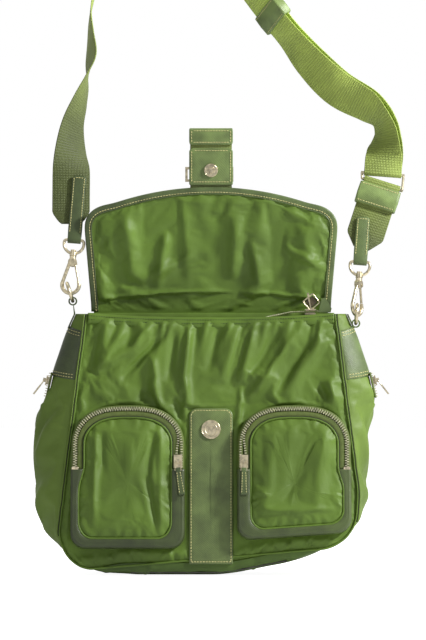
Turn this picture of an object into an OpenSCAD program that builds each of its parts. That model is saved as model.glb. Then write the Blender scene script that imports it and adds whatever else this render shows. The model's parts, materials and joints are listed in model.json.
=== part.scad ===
// Messenger bag with an open flap, two zipped front pockets and a clip-on shoulder strap.
// The front faces -Y, +X is to the right seen from the front, and Z = 0 is the ground under the bag.

/* [Bag body] */
// Height from the ground to the open mouth
body_h = 262; // [256:1:268]
// Half depth of the mouth
mouth_half = 14; // [14:0.5:15]
// Outward lean of the front and back panels, as run over rise
panel_slope = 0.14; // [0.14:0.005:0.16]
// Half width of the front panel at the mouth
seam_top = 124; // [122:1:125]
// Growth of the panel's half width for each millimetre down
seam_flare = 0.125; // [0.12:0.005:0.13]
// Half width of the whole bag at its widest
side_max = 168.5; // [165:0.5:172]
// Height at which the bag is widest
side_max_z = 125; // [115:1:130]
// Fabric thickness of the outer shell
shell_t = 1.6; // [1.2:0.1:1.8]

/* [Front pockets] */
// Distance from the middle of the bag to the middle of a pocket
pocket_x = 83; // [82:0.5:84]
// Half width of a pocket
pocket_half = 56; // [54:0.5:57]
// Height of a pocket's lower edge
pocket_low = 28; // [26:1:32]
// Height where a pocket's straight sides turn into the arch
pocket_spring = 131; // [130:0.5:132]
// Rise of the arch
pocket_rise = 39; // [36:0.5:39]
// How far a pocket stands out from the front panel
pocket_out = 12; // [10:0.5:13]

/* [Flap and tab] */
// Height of the flap's fold line
fold_z = 273; // [273:0.5:274]
// Forward lean of the open flap in degrees
flap_lean = 6; // [5:0.5:7]
// Length of the flap above its fold line
flap_len = 115; // [112:1:116]
// Half width of the flap at the fold
flap_base_half = 121; // [118:0.5:122]
// Half width of the flap at its corners
flap_half = 128; // [124:0.5:128]
// Half width of the closing tab
tab_half = 22; // [18:0.5:23]
// Length of the closing tab
tab_len = 57; // [50:1:60]

/* [Shoulder strap] */
// Width of the strap webbing
web_w = 38; // [36:0.5:39]
// Thickness of the strap webbing
web_t = 1.3; // [1.2:0.1:1.4]
// Backward lean of the standing strap in degrees
strap_lean = 12; // [12:0.5:14]
// Distance from a side ring's centre to the straight bar of its D-ring
bar_c = 54; // [54:0.5:55]

/* [Metal parts] */
// Wire radius of the side rings
ring_wire = 1.7; // [1.5:0.1:1.8]
// Mean radius of the side rings
ring_r = 9.5; // [9.3:0.1:9.8]
// Wire radius of the snap hooks
hook_wire = 1.9; // [1.7:0.1:2]
// Mean radius of the rounded ends of a snap hook
hook_r = 8.6; // [8.5:0.1:9]

/* [Hidden] */
$fn = 32;
fabric = [0.30, 0.42, 0.17];
fabric_dark = [0.22, 0.32, 0.13];
leather = [0.32, 0.42, 0.27];
webbing = [0.42, 0.50, 0.16];
tape = [0.33, 0.36, 0.16];
metal = [0.80, 0.76, 0.66];

gap = 0.3;
front_foot = mouth_half + body_h * panel_slope;
tilt = atan(panel_slope);
front_low = 13;
front_corner = 35;
corner_x = seam_top + (body_h - front_low - front_corner) * seam_flare - front_corner;

// Half depth of the body at height z
function depth_at(z) = mouth_half + (body_h - z) * panel_slope;

// Half width of the front panel's seam at height z
function seam_at(z) =
    z > front_low + front_corner
        ? seam_top + (body_h - z) * seam_flare
        : corner_x + sqrt(front_corner ^ 2 - (front_low + front_corner - z) ^ 2);

// Half width of the whole bag at height z, bulging past the seam between the corners
function side_at(z) =
    max(seam_at(z), side_max - 0.00175 * (z - side_max_z) ^ 2 - 0.012 * max(0, 60 - z) ^ 2);

// Places its children on the slanted front panel: local X across, local Z up the panel, local -Y out
module on_front() {
    translate([0, -front_foot, 0]) rotate([-tilt, 0, 0]) children();
}

// The same on the back panel
module on_back() {
    mirror([0, 1, 0]) on_front() children();
}

// A slab cut from a flat outline, between two distances out from the panel
module slab(low, high) {
    translate([0, -low, 0]) rotate([90, 0, 0]) linear_extrude(high - low) children();
}

// A closed sheet between two grids of points, given by functions of u and v from 0 to 1
module sheet(outer, inner, nu, nv) {
    count = (nu + 1) * (nv + 1);
    points = concat(
        [for (i = [0:nu]) for (j = [0:nv]) outer(i / nu, j / nv)],
        [for (i = [0:nu]) for (j = [0:nv]) inner(i / nu, j / nv)]
    );
    id = function (s, i, j) s * count + i * (nv + 1) + j;
    faces = concat(
        [for (i = [0:nu - 1]) for (j = [0:nv - 1])
            [id(0, i, j), id(0, i, j + 1), id(0, i + 1, j + 1)]],
        [for (i = [0:nu - 1]) for (j = [0:nv - 1])
            [id(0, i, j), id(0, i + 1, j + 1), id(0, i + 1, j)]],
        [for (i = [0:nu - 1]) for (j = [0:nv - 1])
            [id(1, i, j), id(1, i + 1, j + 1), id(1, i, j + 1)]],
        [for (i = [0:nu - 1]) for (j = [0:nv - 1])
            [id(1, i, j), id(1, i + 1, j), id(1, i + 1, j + 1)]],
        [for (i = [0:nu - 1]) each [
            [id(0, i, 0), id(0, i + 1, 0), id(1, i + 1, 0)],
            [id(0, i, 0), id(1, i + 1, 0), id(1, i, 0)],
            [id(0, i, nv), id(1, i + 1, nv), id(0, i + 1, nv)],
            [id(0, i, nv), id(1, i, nv), id(1, i + 1, nv)]]],
        [for (j = [0:nv - 1]) each [
            [id(0, 0, j), id(1, 0, j + 1), id(0, 0, j + 1)],
            [id(0, 0, j), id(1, 0, j), id(1, 0, j + 1)],
            [id(0, nu, j), id(0, nu, j + 1), id(1, nu, j + 1)],
            [id(0, nu, j), id(1, nu, j + 1), id(1, nu, j)]]]
    );
    polyhedron(points, faces);
}

// ---- Bag body ----

// Outline of the front and back panels, in panel coordinates
module panel_outline() {
    up = 1 / cos(tilt);
    r = front_corner;
    arc = [for (a = [0:10:90]) [
        corner_x + r * sin(a),
        (front_low + front_corner) * up - r * cos(a)
    ]];
    half = concat(arc, [[seam_top, body_h * up]]);
    mirrored = [for (i = [len(half) - 1:-1:0]) [-half[i].x, half[i].y]];
    polygon(concat(half, mirrored));
}

module front_panel() {
    color(fabric) on_front() slab(-shell_t, 0) panel_outline();
}

module back_panel() {
    color(fabric) on_back() slab(-shell_t, 0) panel_outline();
}

gusset_low = 27;
gusset_gap = 0.5;

// A point on a gusset: side is -1 or 1, u runs front to back, v runs up, out is the offset outwards
function gusset_point(side, u, v, out, low, high) =
    let (
        z = low + (high - low) * v,
        y = (depth_at(z) - shell_t - gusset_gap) * (2 * u - 1),
        puff = min(1, 1.3 * sin(180 * u)),
        seam = seam_at(z) - gusset_gap
    )
    [side * (seam + (side_at(z) - seam) * puff + out), y, z];

module gusset_sheet(side, near, far, low, high, nv) {
    a = function (u, v) gusset_point(side, side > 0 ? u : 1 - u, v, far, low, high);
    b = function (u, v) gusset_point(side, side > 0 ? u : 1 - u, v, near, low, high);
    sheet(a, b, 14, nv);
}

module left_gusset() {
    color(fabric_dark) gusset_sheet(-1, -shell_t, 0, gusset_low, body_h, 16);
}

module right_gusset() {
    color(fabric_dark) gusset_sheet(1, -shell_t, 0, gusset_low, body_h, 16);
}

cover_low = 200;
cover_high = 246.5;
cover_t = 1.4;

module left_gusset_leather() {
    color(leather) gusset_sheet(-1, gap, gap + cover_t, cover_low, cover_high, 6);
}

module right_gusset_leather() {
    color(leather) gusset_sheet(1, gap, gap + cover_t, cover_low, cover_high, 6);
}

bottom_flat = 70;
bottom_rise = 25;
bottom_end = 139;
bottom_half = 45;
bottom_arc = ((bottom_end - bottom_flat) ^ 2 + bottom_rise ^ 2) / (2 * bottom_rise);

// Lower edge of the bottom panel with its wall thickness, seen from the front
module bottom_outline() {
    sweep = asin((bottom_end - bottom_flat) / bottom_arc);
    steps = 8;
    curve = function (r, i) let (a = sweep * i / steps)
        [bottom_flat + r * sin(a), bottom_arc - r * cos(a)];
    polygon(concat(
        [for (i = [0:steps]) curve(bottom_arc, i)],
        [for (i = [steps:-1:0]) curve(bottom_arc - shell_t, i)],
        [for (i = [0:steps]) let (p = curve(bottom_arc - shell_t, i)) [-p.x, p.y]],
        [for (i = [steps:-1:0]) let (p = curve(bottom_arc, i)) [-p.x, p.y]]
    ));
}

module bottom_panel() {
    color(fabric_dark)
    translate([0, bottom_half, 0]) rotate([90, 0, 0]) linear_extrude(2 * bottom_half)
    bottom_outline();
}

board_t = 2.4;

module base_board() {
    color("dimgray")
    translate([-bottom_flat - 10, -bottom_half + 3, shell_t + 0.9])
    cube([2 * bottom_flat + 20, 2 * bottom_half - 6, board_t]);
}

lining_t = 0.8;
lining_low = 14;
lining_foot = 108;
lining_top = 119;

// Tapered block that fills the inside of the bag, grown inwards by an inset
module lining_block(inset, low, high) {
    hull() {
        translate([0, 0, low])
        linear_extrude(0.1)
        square([2 * (lining_foot - inset), 2 * (depth_at(low) - 3.6 - inset)], center = true);
        translate([0, 0, high - 0.1])
        linear_extrude(0.1)
        square([2 * (lining_top - inset), 2 * (depth_at(high) - 4.2 - inset)], center = true);
    }
}

module lining() {
    color("olivedrab") difference() {
        lining_block(0, lining_low, body_h - 4);
        lining_block(lining_t, lining_low + lining_t, body_h + 1);
    }
}

facing_h = 22;
facing_t = 1.1;
facing_side = 6;

module mouth_facing() {
    color(fabric_dark)
    for (flip = [0, 1]) mirror([0, flip, 0]) on_front() slab(-shell_t - facing_t, -shell_t - gap)
    translate([-seam_top + facing_side, body_h - facing_h])
    square([2 * (seam_top - facing_side), facing_h]);
}

// ---- Front strap and snap ----

strap_half = 22;
strap_low = 12;
strap_high = 168;
strap_t = 2.2;
strap_round = 8;
socket_z = 146.5;
socket_r = 9.5;
rim_r = 6.5;
well_r = 3.4;

module front_strap() {
    color(leather) on_front() slab(gap, gap + strap_t) {
        inner = strap_half - strap_round;
        long = strap_high - strap_low;
        translate([-strap_half, strap_low]) square([2 * strap_half, long - strap_round]);
        translate([-inner, strap_low]) square([2 * inner, long]);
        for (x = [-inner, inner]) translate([x, strap_high - strap_round]) circle(strap_round);
    }
}

// Lower half of the snap: a ring with a raised rim and a well for the stud
module snap_socket() {
    color(metal) on_front() translate([0, -2 * gap - strap_t, socket_z]) rotate([90, 0, 0])
    difference() {
        union() {
            cylinder(r = socket_r, h = 1.2);
            cylinder(r = rim_r, h = 2.2);
        }
        translate([0, 0, 0.8]) cylinder(r = well_r, h = 3);
    }
}

// ---- Pockets ----

zip_gap_in = 4.8;
zip_gap_out = 6.8;
bead = 1.8;
zip_leg_low = 106;
slider_mid = 113.5;
zip_track = (zip_gap_in + zip_gap_out) / 2;
arch_power = 0.7; // [0.5:0.05:1]

// Outline of a pocket in panel coordinates, drawn in by an inset
module pocket_outline(inset = 0) {
    w = pocket_half - inset;
    low = pocket_low + inset;
    r = 14;
    corner = [for (a = [0:15:90]) [w - r + r * sin(a), low + r - r * cos(a)]];
    arch = [for (a = [0:6:90]) [
        w * pow(cos(a), arch_power),
        pocket_spring + (pocket_rise - inset) * sin(a)
    ]];
    half = concat(corner, arch);
    polygon(concat(half, [for (i = [len(half) - 2:-1:0]) [-half[i].x, half[i].y]]));
}

// Band of a pocket's outline between two insets
module pocket_band(from, to) {
    difference() {
        pocket_outline(from);
        pocket_outline(to);
    }
}

module below(z) {
    intersection() {
        translate([-100, 0]) square([200, z]);
        children();
    }
}

module above(z) {
    intersection() {
        translate([-100, z]) square([200, 200]);
        children();
    }
}

module at_pocket(side) {
    on_front() translate([side * pocket_x, 0, 0]) children();
}

face_inset = zip_gap_out + bead + 3.4;
face_t = 1.2;

module pocket_face(side) {
    color(fabric) at_pocket(side) slab(pocket_out - face_t, pocket_out) pocket_outline(face_inset);
}

module left_pocket_face() {
    pocket_face(-1);
}

module right_pocket_face() {
    pocket_face(1);
}

// Leather wall and rim around the lower part of a pocket
module pocket_surround(side) {
    color(leather) at_pocket(side) {
        slab(gap, pocket_out - face_t - gap) below(zip_leg_low - gap) pocket_band(0, 1.6);
        slab(pocket_out - face_t, pocket_out)
        below(zip_leg_low - gap) pocket_band(0, face_inset - gap);
    }
}

module left_pocket_surround() {
    pocket_surround(-1);
}

module right_pocket_surround() {
    pocket_surround(1);
}

// Zip around the arch: outer tape wrapping back to the panel, two rows of teeth, inner tape
module pocket_zip(side) {
    color(tape) at_pocket(side) {
        slab(gap, pocket_out - 0.4) above(zip_leg_low) pocket_band(0, 1);
        slab(pocket_out - 1, pocket_out - 0.4) above(zip_leg_low) pocket_band(0.5, 3.5);
        slab(pocket_out - 1, pocket_out - 0.4) above(zip_leg_low) pocket_band(8, face_inset - gap);
    }
    color(metal) at_pocket(side) {
        slab(pocket_out - 1.6, pocket_out + 0.2) above(zip_leg_low)
        pocket_band(zip_gap_in - bead, zip_gap_in);
        slab(pocket_out - 1.6, pocket_out + 0.2) above(zip_leg_low)
        pocket_band(zip_gap_out, zip_gap_out + bead);
    }
}

module left_pocket_zip() {
    pocket_zip(-1);
}

module right_pocket_zip() {
    pocket_zip(1);
}

// ---- Zip hardware ----
// A slider's own frame: the teeth lie in the plane Z = 0 and run along X, +Z is out, the pull hangs to -X

lug_h = 3.9;
lug_pin = 0.7;
bail_len = 9;
bail_half = 2.8;
bail_wire = 0.7;
bail_leg = 0.55;
plate_t = 1.1;
plate_out = 1.3;
plate_back = 3;

module zip_slider(half_len, half_w) {
    difference() {
        union() {
            for (z = [plate_out, -plate_back])
            translate([-half_len, -half_w, z]) cube([2 * half_len, 2 * half_w, plate_t]);
            translate([-half_len + 1, -0.6, -2.5]) cube([2 * half_len - 2, 1.2, 4.3]);
            translate([-2, -1.4, 2.2]) cube([4, 2.8, 3.2]);
        }
        translate([0, 5, lug_h]) rotate([90, 0, 0]) cylinder(r = lug_pin + 0.12, h = 10);
    }
}

// Wire frame through a slider's lug
module zip_bail(len) {
    for (y = [-bail_half, bail_half])
    translate([-len, y, lug_h]) rotate([0, 90, 0]) cylinder(r = bail_leg, h = len);
    for (x = [-len, 0])
    translate([x, -bail_half - bail_wire, lug_h]) rotate([-90, 0, 0])
    cylinder(r = bail_wire, h = 2 * (bail_half + bail_wire));
}

pull_t = 1.1;
pull_eye = 0.95;

// Leather pull folded round the far bar of a bail
module leather_pull(from, len, w) {
    difference() {
        union() {
            translate([-from, -w / 2, lug_h]) rotate([-90, 0, 0])
            cylinder(r = pull_eye + pull_t, h = w);
            translate([-from - len, -w / 2, lug_h - 1.4]) cube([len, w, 2.8]);
        }
        translate([-from, -w, lug_h]) rotate([-90, 0, 0]) cylinder(r = pull_eye, h = 2 * w);
    }
}

pocket_pull_len = 24;
pocket_pull_w = 4;

module at_pocket_slider(side) {
    at_pocket(side) translate([-side * (pocket_half - zip_track), -pocket_out + 0.7, slider_mid])
    rotate([90, 0, 0]) rotate([0, 0, 90]) children();
}

module left_zip_slider() {
    color(metal) at_pocket_slider(-1) zip_slider(6.5, 4.2);
}

module right_zip_slider() {
    color(metal) at_pocket_slider(1) zip_slider(6.5, 4.2);
}

module left_zip_bail() {
    color(metal) at_pocket_slider(-1) zip_bail(bail_len);
}

module right_zip_bail() {
    color(metal) at_pocket_slider(1) zip_bail(bail_len);
}

module left_zip_pull() {
    color(leather) at_pocket_slider(-1) leather_pull(bail_len, pocket_pull_len, pocket_pull_w);
}

module right_zip_pull() {
    color(leather) at_pocket_slider(1) leather_pull(bail_len, pocket_pull_len, pocket_pull_w);
}

// ---- Main zip along the mouth ----

main_z = body_h + 1.6;
main_from = -116;
main_join = 70;
main_to = 108;
main_slider_x = 100;
main_open = 7;
main_tape_t = 0.6;

// One half of the zip seen from above, following the mouth and then closing to the middle
module main_tape_outline(near, far) {
    polygon([
        [main_from, main_open + near], [main_join - 20, main_open + near], [main_join, near + 1],
        [main_to, near + 1], [main_to, far + 1], [main_join, far + 1],
        [main_join - 20, min(main_open + far, 11)], [main_from, min(main_open + far, 11)]
    ]);
}

module main_zip() {
    for (flip = [0, 1]) mirror([0, flip, 0]) {
        color(tape) translate([0, 0, main_z - main_tape_t / 2]) linear_extrude(main_tape_t)
        main_tape_outline(1, 8);
        color(metal) translate([0, 0, main_z - bead / 2]) linear_extrude(bead)
        main_tape_outline(0, bead);
    }
}

// Folded leather tab that closes the end of the main zip
module main_zip_end() {
    color(leather) translate([main_to + gap, 0, main_z - 1]) rotate([90, 0, 0])
    translate([0, 0, -6]) linear_extrude(12)
    polygon([[0, 0], [12, 0], [13, 4], [7, 15], [3, 14], [1, 6]]);
}

module at_main_slider() {
    translate([main_slider_x, 0, main_z]) children();
}

module main_zip_slider() {
    color(metal) at_main_slider() zip_slider(5.5, 4.5);
}

main_pull_tilt = 80;

// Square pull plate, standing up from the slider
module main_zip_pull() {
    color(metal) at_main_slider() translate([0, 0, lug_h]) rotate([0, main_pull_tilt, 0])
    translate([0, 0, -lug_h]) {
        zip_bail(6);
        translate([-15, -4, lug_h - 0.8]) difference() {
            cube([9, 8, 1.6]);
            translate([2, 2, -1]) cube([5, 4, 4]);
        }
    }
}

// ---- Side rings, their loops and the side zips ----

left_ring = [-142, 0, 283];
right_ring = [146.5, 0, 261];
ring_line = right_ring - left_ring;
ring_slope = atan(-ring_line.z / ring_line.x);
loop_bore = 3;
loop_t = 1.4;
loop_w = 8;
tail_t = 1.5;
tail_lift = 0.4;

// Frame of the strap's swing axis: X along the axis through both side rings, Z up
module at_axis(along) {
    translate(left_ring) rotate([0, ring_slope, 0]) translate([along, 0, 0]) children();
}

axis_len = norm(ring_line);

left_tilt = 22;

module side_ring(along, lean) {
    color(metal) at_axis(along) rotate([0, 90 - lean, 0])
    rotate_extrude($fn = 48) translate([ring_r, 0]) circle(ring_wire);
}

module left_side_ring() {
    side_ring(0, left_tilt);
}

module right_side_ring() {
    side_ring(axis_len, 0);
}

// Leather loop round the lowest part of a side ring, with a tail sewn to the gusset
module ring_loop(side, ring, lean) {
    cx = side * (ring.x - ring_r * sin(ring_slope - lean));
    cz = ring.z - ring_r * cos(ring_slope - lean);
    low = cover_high + gap + 0.2;
    top = body_h - 1;
    tail = concat(
        [for (z = [low:2:top]) [side_at(z) + tail_lift, z]],
        cz > top ? [[cx, cz]] : [],
        [for (z = [top:-2:low]) [side_at(z) + tail_lift + tail_t, z]]
    );
    color(leather) mirror([side < 0 ? 1 : 0, 0, 0]) difference() {
        union() {
            translate([0, loop_w / 2, 0]) rotate([90, 0, 0]) linear_extrude(loop_w) polygon(tail);
            translate([cx, loop_w / 2, cz]) rotate([90, 0, 0])
            cylinder(r = loop_bore + loop_t, h = loop_w);
        }
        translate([cx, loop_w, cz]) rotate([90, 0, 0]) cylinder(r = loop_bore, h = 2 * loop_w);
    }
}

module left_ring_loop() {
    ring_loop(-1, left_ring, left_tilt);
}

module right_ring_loop() {
    ring_loop(1, right_ring, 0);
}

side_zip_z = 190;
side_zip_out = 3.6;
side_zip_half = 13;
side_slider_up = 4;
side_pull_turn = 25;
side_zip_lean = atan(2 * 0.00175 * (side_zip_z - side_max_z));

// Frame on the gusset at a side zip: X up the gusset, Z out of the bag
module at_side_zip(side) {
    mirror([side < 0 ? 1 : 0, 0, 0])
    translate([side_at(side_zip_z) + side_zip_out, 0, side_zip_z])
    rotate([0, 90 - side_zip_lean, 0]) rotate([0, 0, 180]) children();
}

module side_zip(side) {
    color(tape) at_side_zip(side) {
        for (y = [-7.6, 2.6]) translate([-side_zip_half, y, -0.3]) cube([2 * side_zip_half, 5, 0.6]);
    }
    color(metal) at_side_zip(side)
    for (y = [-2.8, 1]) translate([-side_zip_half, y, -bead / 2]) cube([2 * side_zip_half, bead, bead]);
}

module left_side_zip() {
    side_zip(-1);
}

module right_side_zip() {
    side_zip(1);
}

module at_side_slider(side) {
    at_side_zip(side) translate([side_slider_up, 0, 0]) children();
}

module left_side_slider() {
    color(metal) at_side_slider(-1) zip_slider(5, 4.2);
}

module right_side_slider() {
    color(metal) at_side_slider(1) zip_slider(5, 4.2);
}

// Metal pull of a side zip, hanging a little away from the gusset
module side_pull(side) {
    color(metal) at_side_slider(side)
    translate([0, 0, lug_h]) rotate([0, side_pull_turn, 0]) translate([0, 0, -lug_h]) {
        zip_bail(7);
        translate([-18, -2, lug_h - 0.8]) cube([11, 4, 1.6]);
    }
}

module left_side_pull() {
    side_pull(-1);
}

module right_side_pull() {
    side_pull(1);
}

// ---- Flap ----

flap_in = 14.8;
binding_w = 6;
edge_back = 1.3;
top_arc = 300;
flap_low = -5;

module at_flap() {
    translate([0, 0, fold_z]) rotate([flap_lean, 0, 0]) children();
}

function flap_top(x) = flap_len - top_arc + sqrt(top_arc ^ 2 - x ^ 2);

// Outline of the flap, drawn in by an inset along its free edges
module flap_outline(inset = 0) {
    knee = flap_len * 0.67;
    inner_x = flap_half - 28;
    corner_h = flap_top(inner_x) - knee;
    corner = [for (a = [0:10:80]) [
        inner_x + (28 - inset) * cos(a),
        knee + (corner_h - inset) * sin(a)
    ]];
    arc = [for (i = [0:9]) let (x = inner_x * (1 - i / 9)) [x, flap_top(x) - inset]];
    half = concat([[flap_base_half - inset, flap_low]], corner, arc);
    polygon(concat(half, [for (i = [len(half) - 2:-1:0]) [-half[i].x, half[i].y]]));
}

module flap_slab(low, high) {
    at_flap() translate([0, high, 0]) rotate([90, 0, 0]) linear_extrude(high - low) children();
}

module flap_lining() {
    color(fabric_dark) flap_slab(flap_in, flap_in + 0.8) flap_outline(edge_back);
}

module flap_panel() {
    color(fabric) flap_slab(flap_in + 1.1, flap_in + 2.3) flap_outline(edge_back);
}

// Leather folded round the flap's free edges
module flap_binding() {
    color(leather) difference() {
        flap_slab(flap_in - 0.9, flap_in + 3.2) difference() {
            flap_outline(0);
            translate([0, -0.01]) flap_outline(binding_w);
            translate([-flap_base_half + binding_w, flap_low - 1])
            square([2 * (flap_base_half - binding_w), 2]);
        }
        flap_slab(flap_in - 0.2, flap_in + 2.5) {
            flap_outline(edge_back - 0.3);
            translate([-flap_base_half + edge_back, flap_low - 1])
            square([2 * (flap_base_half - edge_back), 4]);
        }
    }
}

tab_axis = flap_len + 2;
tab_start = tab_axis + 0.3;
tab_mid = flap_in + 1.4;
web_half_t = 0.8;
patch_t = 1.3;
stud_h = 132;
stud_r = 6.8;
post_r = 2.6;

module tab_webbing() {
    color(webbing) flap_slab(tab_mid - web_half_t, tab_mid + web_half_t)
    translate([-tab_half + 1, tab_start]) square([2 * tab_half - 2, tab_len - 4]);
}

patch_len = 37;

// Leather square that carries the stud
module tab_patch() {
    color(leather) flap_slab(tab_mid - web_half_t - gap - patch_t, tab_mid - web_half_t - gap)
    translate([-tab_half, tab_start]) square([2 * tab_half, patch_len]);
}

cap_len = 17;

// Leather folded over the end of the tab
module tab_cap() {
    color(leather) difference() {
        flap_slab(tab_mid - web_half_t - gap - patch_t, tab_mid + web_half_t + gap + patch_t)
        translate([-tab_half, tab_start + tab_len - cap_len]) square([2 * tab_half, cap_len]);
        flap_slab(tab_mid - web_half_t - gap, tab_mid + web_half_t + gap)
        translate([-tab_half - 1, tab_start]) square([2 * tab_half + 2, tab_len - 3.5]);
    }
}

frame_low = 120;
frame_h = 15;
frame_bar = 2.5;
frame_t = 1.7;
frame_from = -26;
frame_to = 22.5;

// Flat wire frame behind the tab, where the webbing is adjusted
module tab_frame() {
    near = tab_mid + web_half_t + 2 * gap;
    w = frame_to - frame_from;
    color(metal) flap_slab(near, near + frame_t) translate([frame_from, frame_low]) difference() {
        square([w, frame_h]);
        translate([frame_bar, frame_bar]) square([w - 2 * frame_bar, frame_h - 2 * frame_bar]);
    }
}

// Upper half of the snap: a disc with a ball-ended post
module snap_stud() {
    color(metal) at_flap()
    translate([0, tab_mid - web_half_t - 2 * gap - patch_t, stud_h]) rotate([90, 0, 0]) {
        cylinder(r = stud_r, h = 0.9);
        cylinder(r = post_r, h = 2.3);
    }
}

// ---- Shoulder strap ----
// Everything stands in the leaned frame of the swing axis: X along the axis, Z up the strap

module at_strap() {
    translate(left_ring) rotate([0, ring_slope, 0]) rotate([-strap_lean, 0, 0]) children();
}

// Strap coordinates of a point given by its place in the front view
function in_strap(x, z) =
    let (dx = x - left_ring.x, dz = z - left_ring.z)
    [
        dx * cos(ring_slope) - dz * sin(ring_slope),
        (dx * sin(ring_slope) + dz * cos(ring_slope)) / cos(strap_lean)
    ];

// Stations of the long webbing in the front view: x, z and its twist away from facing the front
stations = [
    [-141.5, 352, 0], [-141.5, 378, 0], [-141.5, 402, 5], [-142, 425, 34], [-139.5, 455, 58],
    [-133, 478, 72], [-126, 497, 86], [-122.5, 520, 106], [-123, 545, 99], [-122, 572, 92],
    [-115, 605, 90], [-96, 636, 88], [-60, 652, 84], [-20, 642, 76], [12, 623, 66],
    [38, 599, 62], [59, 572, 62], [80, 545, 62], [101, 519, 47], [129, 491, 33],
    [158, 474, 48], [173, 463, 68], [178, 450, 62], [178, 437, 46], [176.5, 425, 24],
    [175, 414, 5], [174, 403, 0]
];

function smooth(a, b, c, d, t) =
    0.5 * (2 * b + (c - a) * t + (2 * a - 5 * b + 4 * c - d) * t ^ 2
    + (3 * b - a - 3 * c + d) * t ^ 3);

// A station anywhere along the strap, on a smooth curve through the listed ones
function station(s) =
    let (
        n = len(stations) - 1,
        i = min(floor(s), n - 1),
        t = s - i,
        a = stations[max(i - 1, 0)],
        d = stations[min(i + 2, n)]
    )
    smooth(a, stations[i], stations[i + 1], d, t);

function unit(v) = v / norm(v);

// One corner of the webbing's section: across is along its width, off is through its thickness
function web_corner(s, across, off) =
    let (
        here = station(s),
        p = in_strap(here.x, here.y),
        e = 0.05,
        fore = station(min(s + e, len(stations) - 1)),
        aft = station(max(s - e, 0)),
        run = in_strap(fore.x, fore.y) - in_strap(aft.x, aft.y),
        t = unit(run),
        side = [t.y, 0, -t.x],
        wide = side * cos(here.z) + [0, sin(here.z), 0],
        thick = -side * sin(here.z) + [0, cos(here.z), 0]
    )
    [p.x, 0, p.y] + wide * across + thick * off;

ply = web_t / 2;
bar_wire = 1.5;
ply_off = bar_wire + 0.2 + ply;
slider_s = 16.2;
last_s = len(stations) - 1;

// How far the main ply stands off the middle line: none at the left end, one ply past the slider
function main_off(s) = -ply_off * min(1, max(0, (s - 9) / 4));

loop_bar = in_strap(stations[last_s].x, stations[last_s].y);

// The webbing from its left end to the metal loop, round the bar, and back up to the slider
function web_point(t, across, off) =
    t <= last_s ? web_corner(t, across, main_off(t) + off)
    : t < last_s + 1 ? let (a = 180 * (t - last_s), r = ply_off - off)
        [loop_bar.x - across, -r * cos(a), loop_bar.y - r * sin(a)]
    : web_corner(2 * last_s + 1 - t, across, ply_off - off);

module strap_webbing() {
    ends = 2 * last_s + 1 - slider_s;
    a = function (u, v) web_point(ends * v, web_w * (u - 0.5), -ply);
    b = function (u, v) web_point(ends * v, web_w * (u - 0.5), ply);
    color(webbing) at_strap() sheet(a, b, 1, 240);
}

tip_half = 6.8;
tip_in = bar_wire + 0.35;
tip_t = 1.8;

// Leather tip in its own frame: the D-ring's bar lies along X at the origin, the tip runs up
module strap_tip(len) {
    for (y = [-tip_in - tip_t, tip_in])
    translate([-tip_half, y, 0]) cube([2 * tip_half, tip_t, len]);
    rotate([0, 90, 0]) translate([0, 0, -tip_half]) linear_extrude(2 * tip_half)
    difference() {
        circle(tip_in + tip_t);
        circle(tip_in);
        translate([-20, -10]) square([20, 20]);
    }
}

tip_len = 66;
right_tip_len = 46;

module at_left_bar() {
    at_strap() translate([0, 0, bar_c]) children();
}

module at_right_bar() {
    at_strap() translate([axis_len, 0, bar_c]) children();
}

module left_strap_tip() {
    color(leather) at_left_bar() strap_tip(tip_len);
}

module right_strap_tip() {
    color(leather) at_right_bar() strap_tip(right_tip_len);
}

loop_drop = 11;
end_low = bar_c + 14;
end_top = [loop_bar.x, loop_bar.y - loop_drop];
end_turn = atan((end_top.x - axis_len) / (end_top.y - end_low));
end_len = norm([end_top.x - axis_len, end_top.y - end_low]);
fold_low = 22;
fold_in = bar_wire + 0.2;

// Frame of the short webbing: the loop's lower bar lies along X at the origin, the webbing hangs down
module at_end() {
    at_strap() translate([end_top.x, 0, end_top.y]) rotate([0, end_turn, 0]) children();
}

// Outline of the fold round the bar, in section: y across the thickness, z up
module fold_outline(r, tail_half, low) {
    polygon(concat(
        [for (a = [0:12:180]) [r * cos(a), r * sin(a)]],
        [[-r, -low], [-tail_half, -low - 3], [tail_half, -low - 3], [r, -low]]
    ));
}

// Short webbing: one ply from the right tip, folded round the loop's lower bar at its top
module end_webbing() {
    color(webbing) at_end() rotate([90, 0, 90]) translate([0, 0, -web_w / 2])
    linear_extrude(web_w) difference() {
        union() {
            fold_outline(fold_in + web_t, ply, fold_low);
            translate([-ply, -end_len]) square([2 * ply, end_len - fold_low]);
        }
        fold_outline(fold_in, 0.05, fold_low - 4);
    }
}

keeper_from = 4;
keeper_len = 22;
keeper_wall = 1.5;

// Leather sleeve round the fold, just below the metal loop
module strap_keeper() {
    in_x = web_w / 2 + 0.8;
    in_y = fold_in + web_t + gap;
    color(leather) at_end() translate([0, 0, -keeper_from - keeper_len]) difference() {
        translate([-in_x - keeper_wall, -in_y - keeper_wall, 0])
        cube([2 * (in_x + keeper_wall), 2 * (in_y + keeper_wall), keeper_len]);
        translate([-in_x, -in_y, -1]) cube([2 * in_x, 2 * in_y, keeper_len + 2]);
    }
}

// A round rod between two points
module rod(from, to, r) {
    run = to - from;
    translate(from) rotate([0, acos(run.z / norm(run)), atan2(run.y, run.x)])
    cylinder(r = r, h = norm(run));
}

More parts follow.
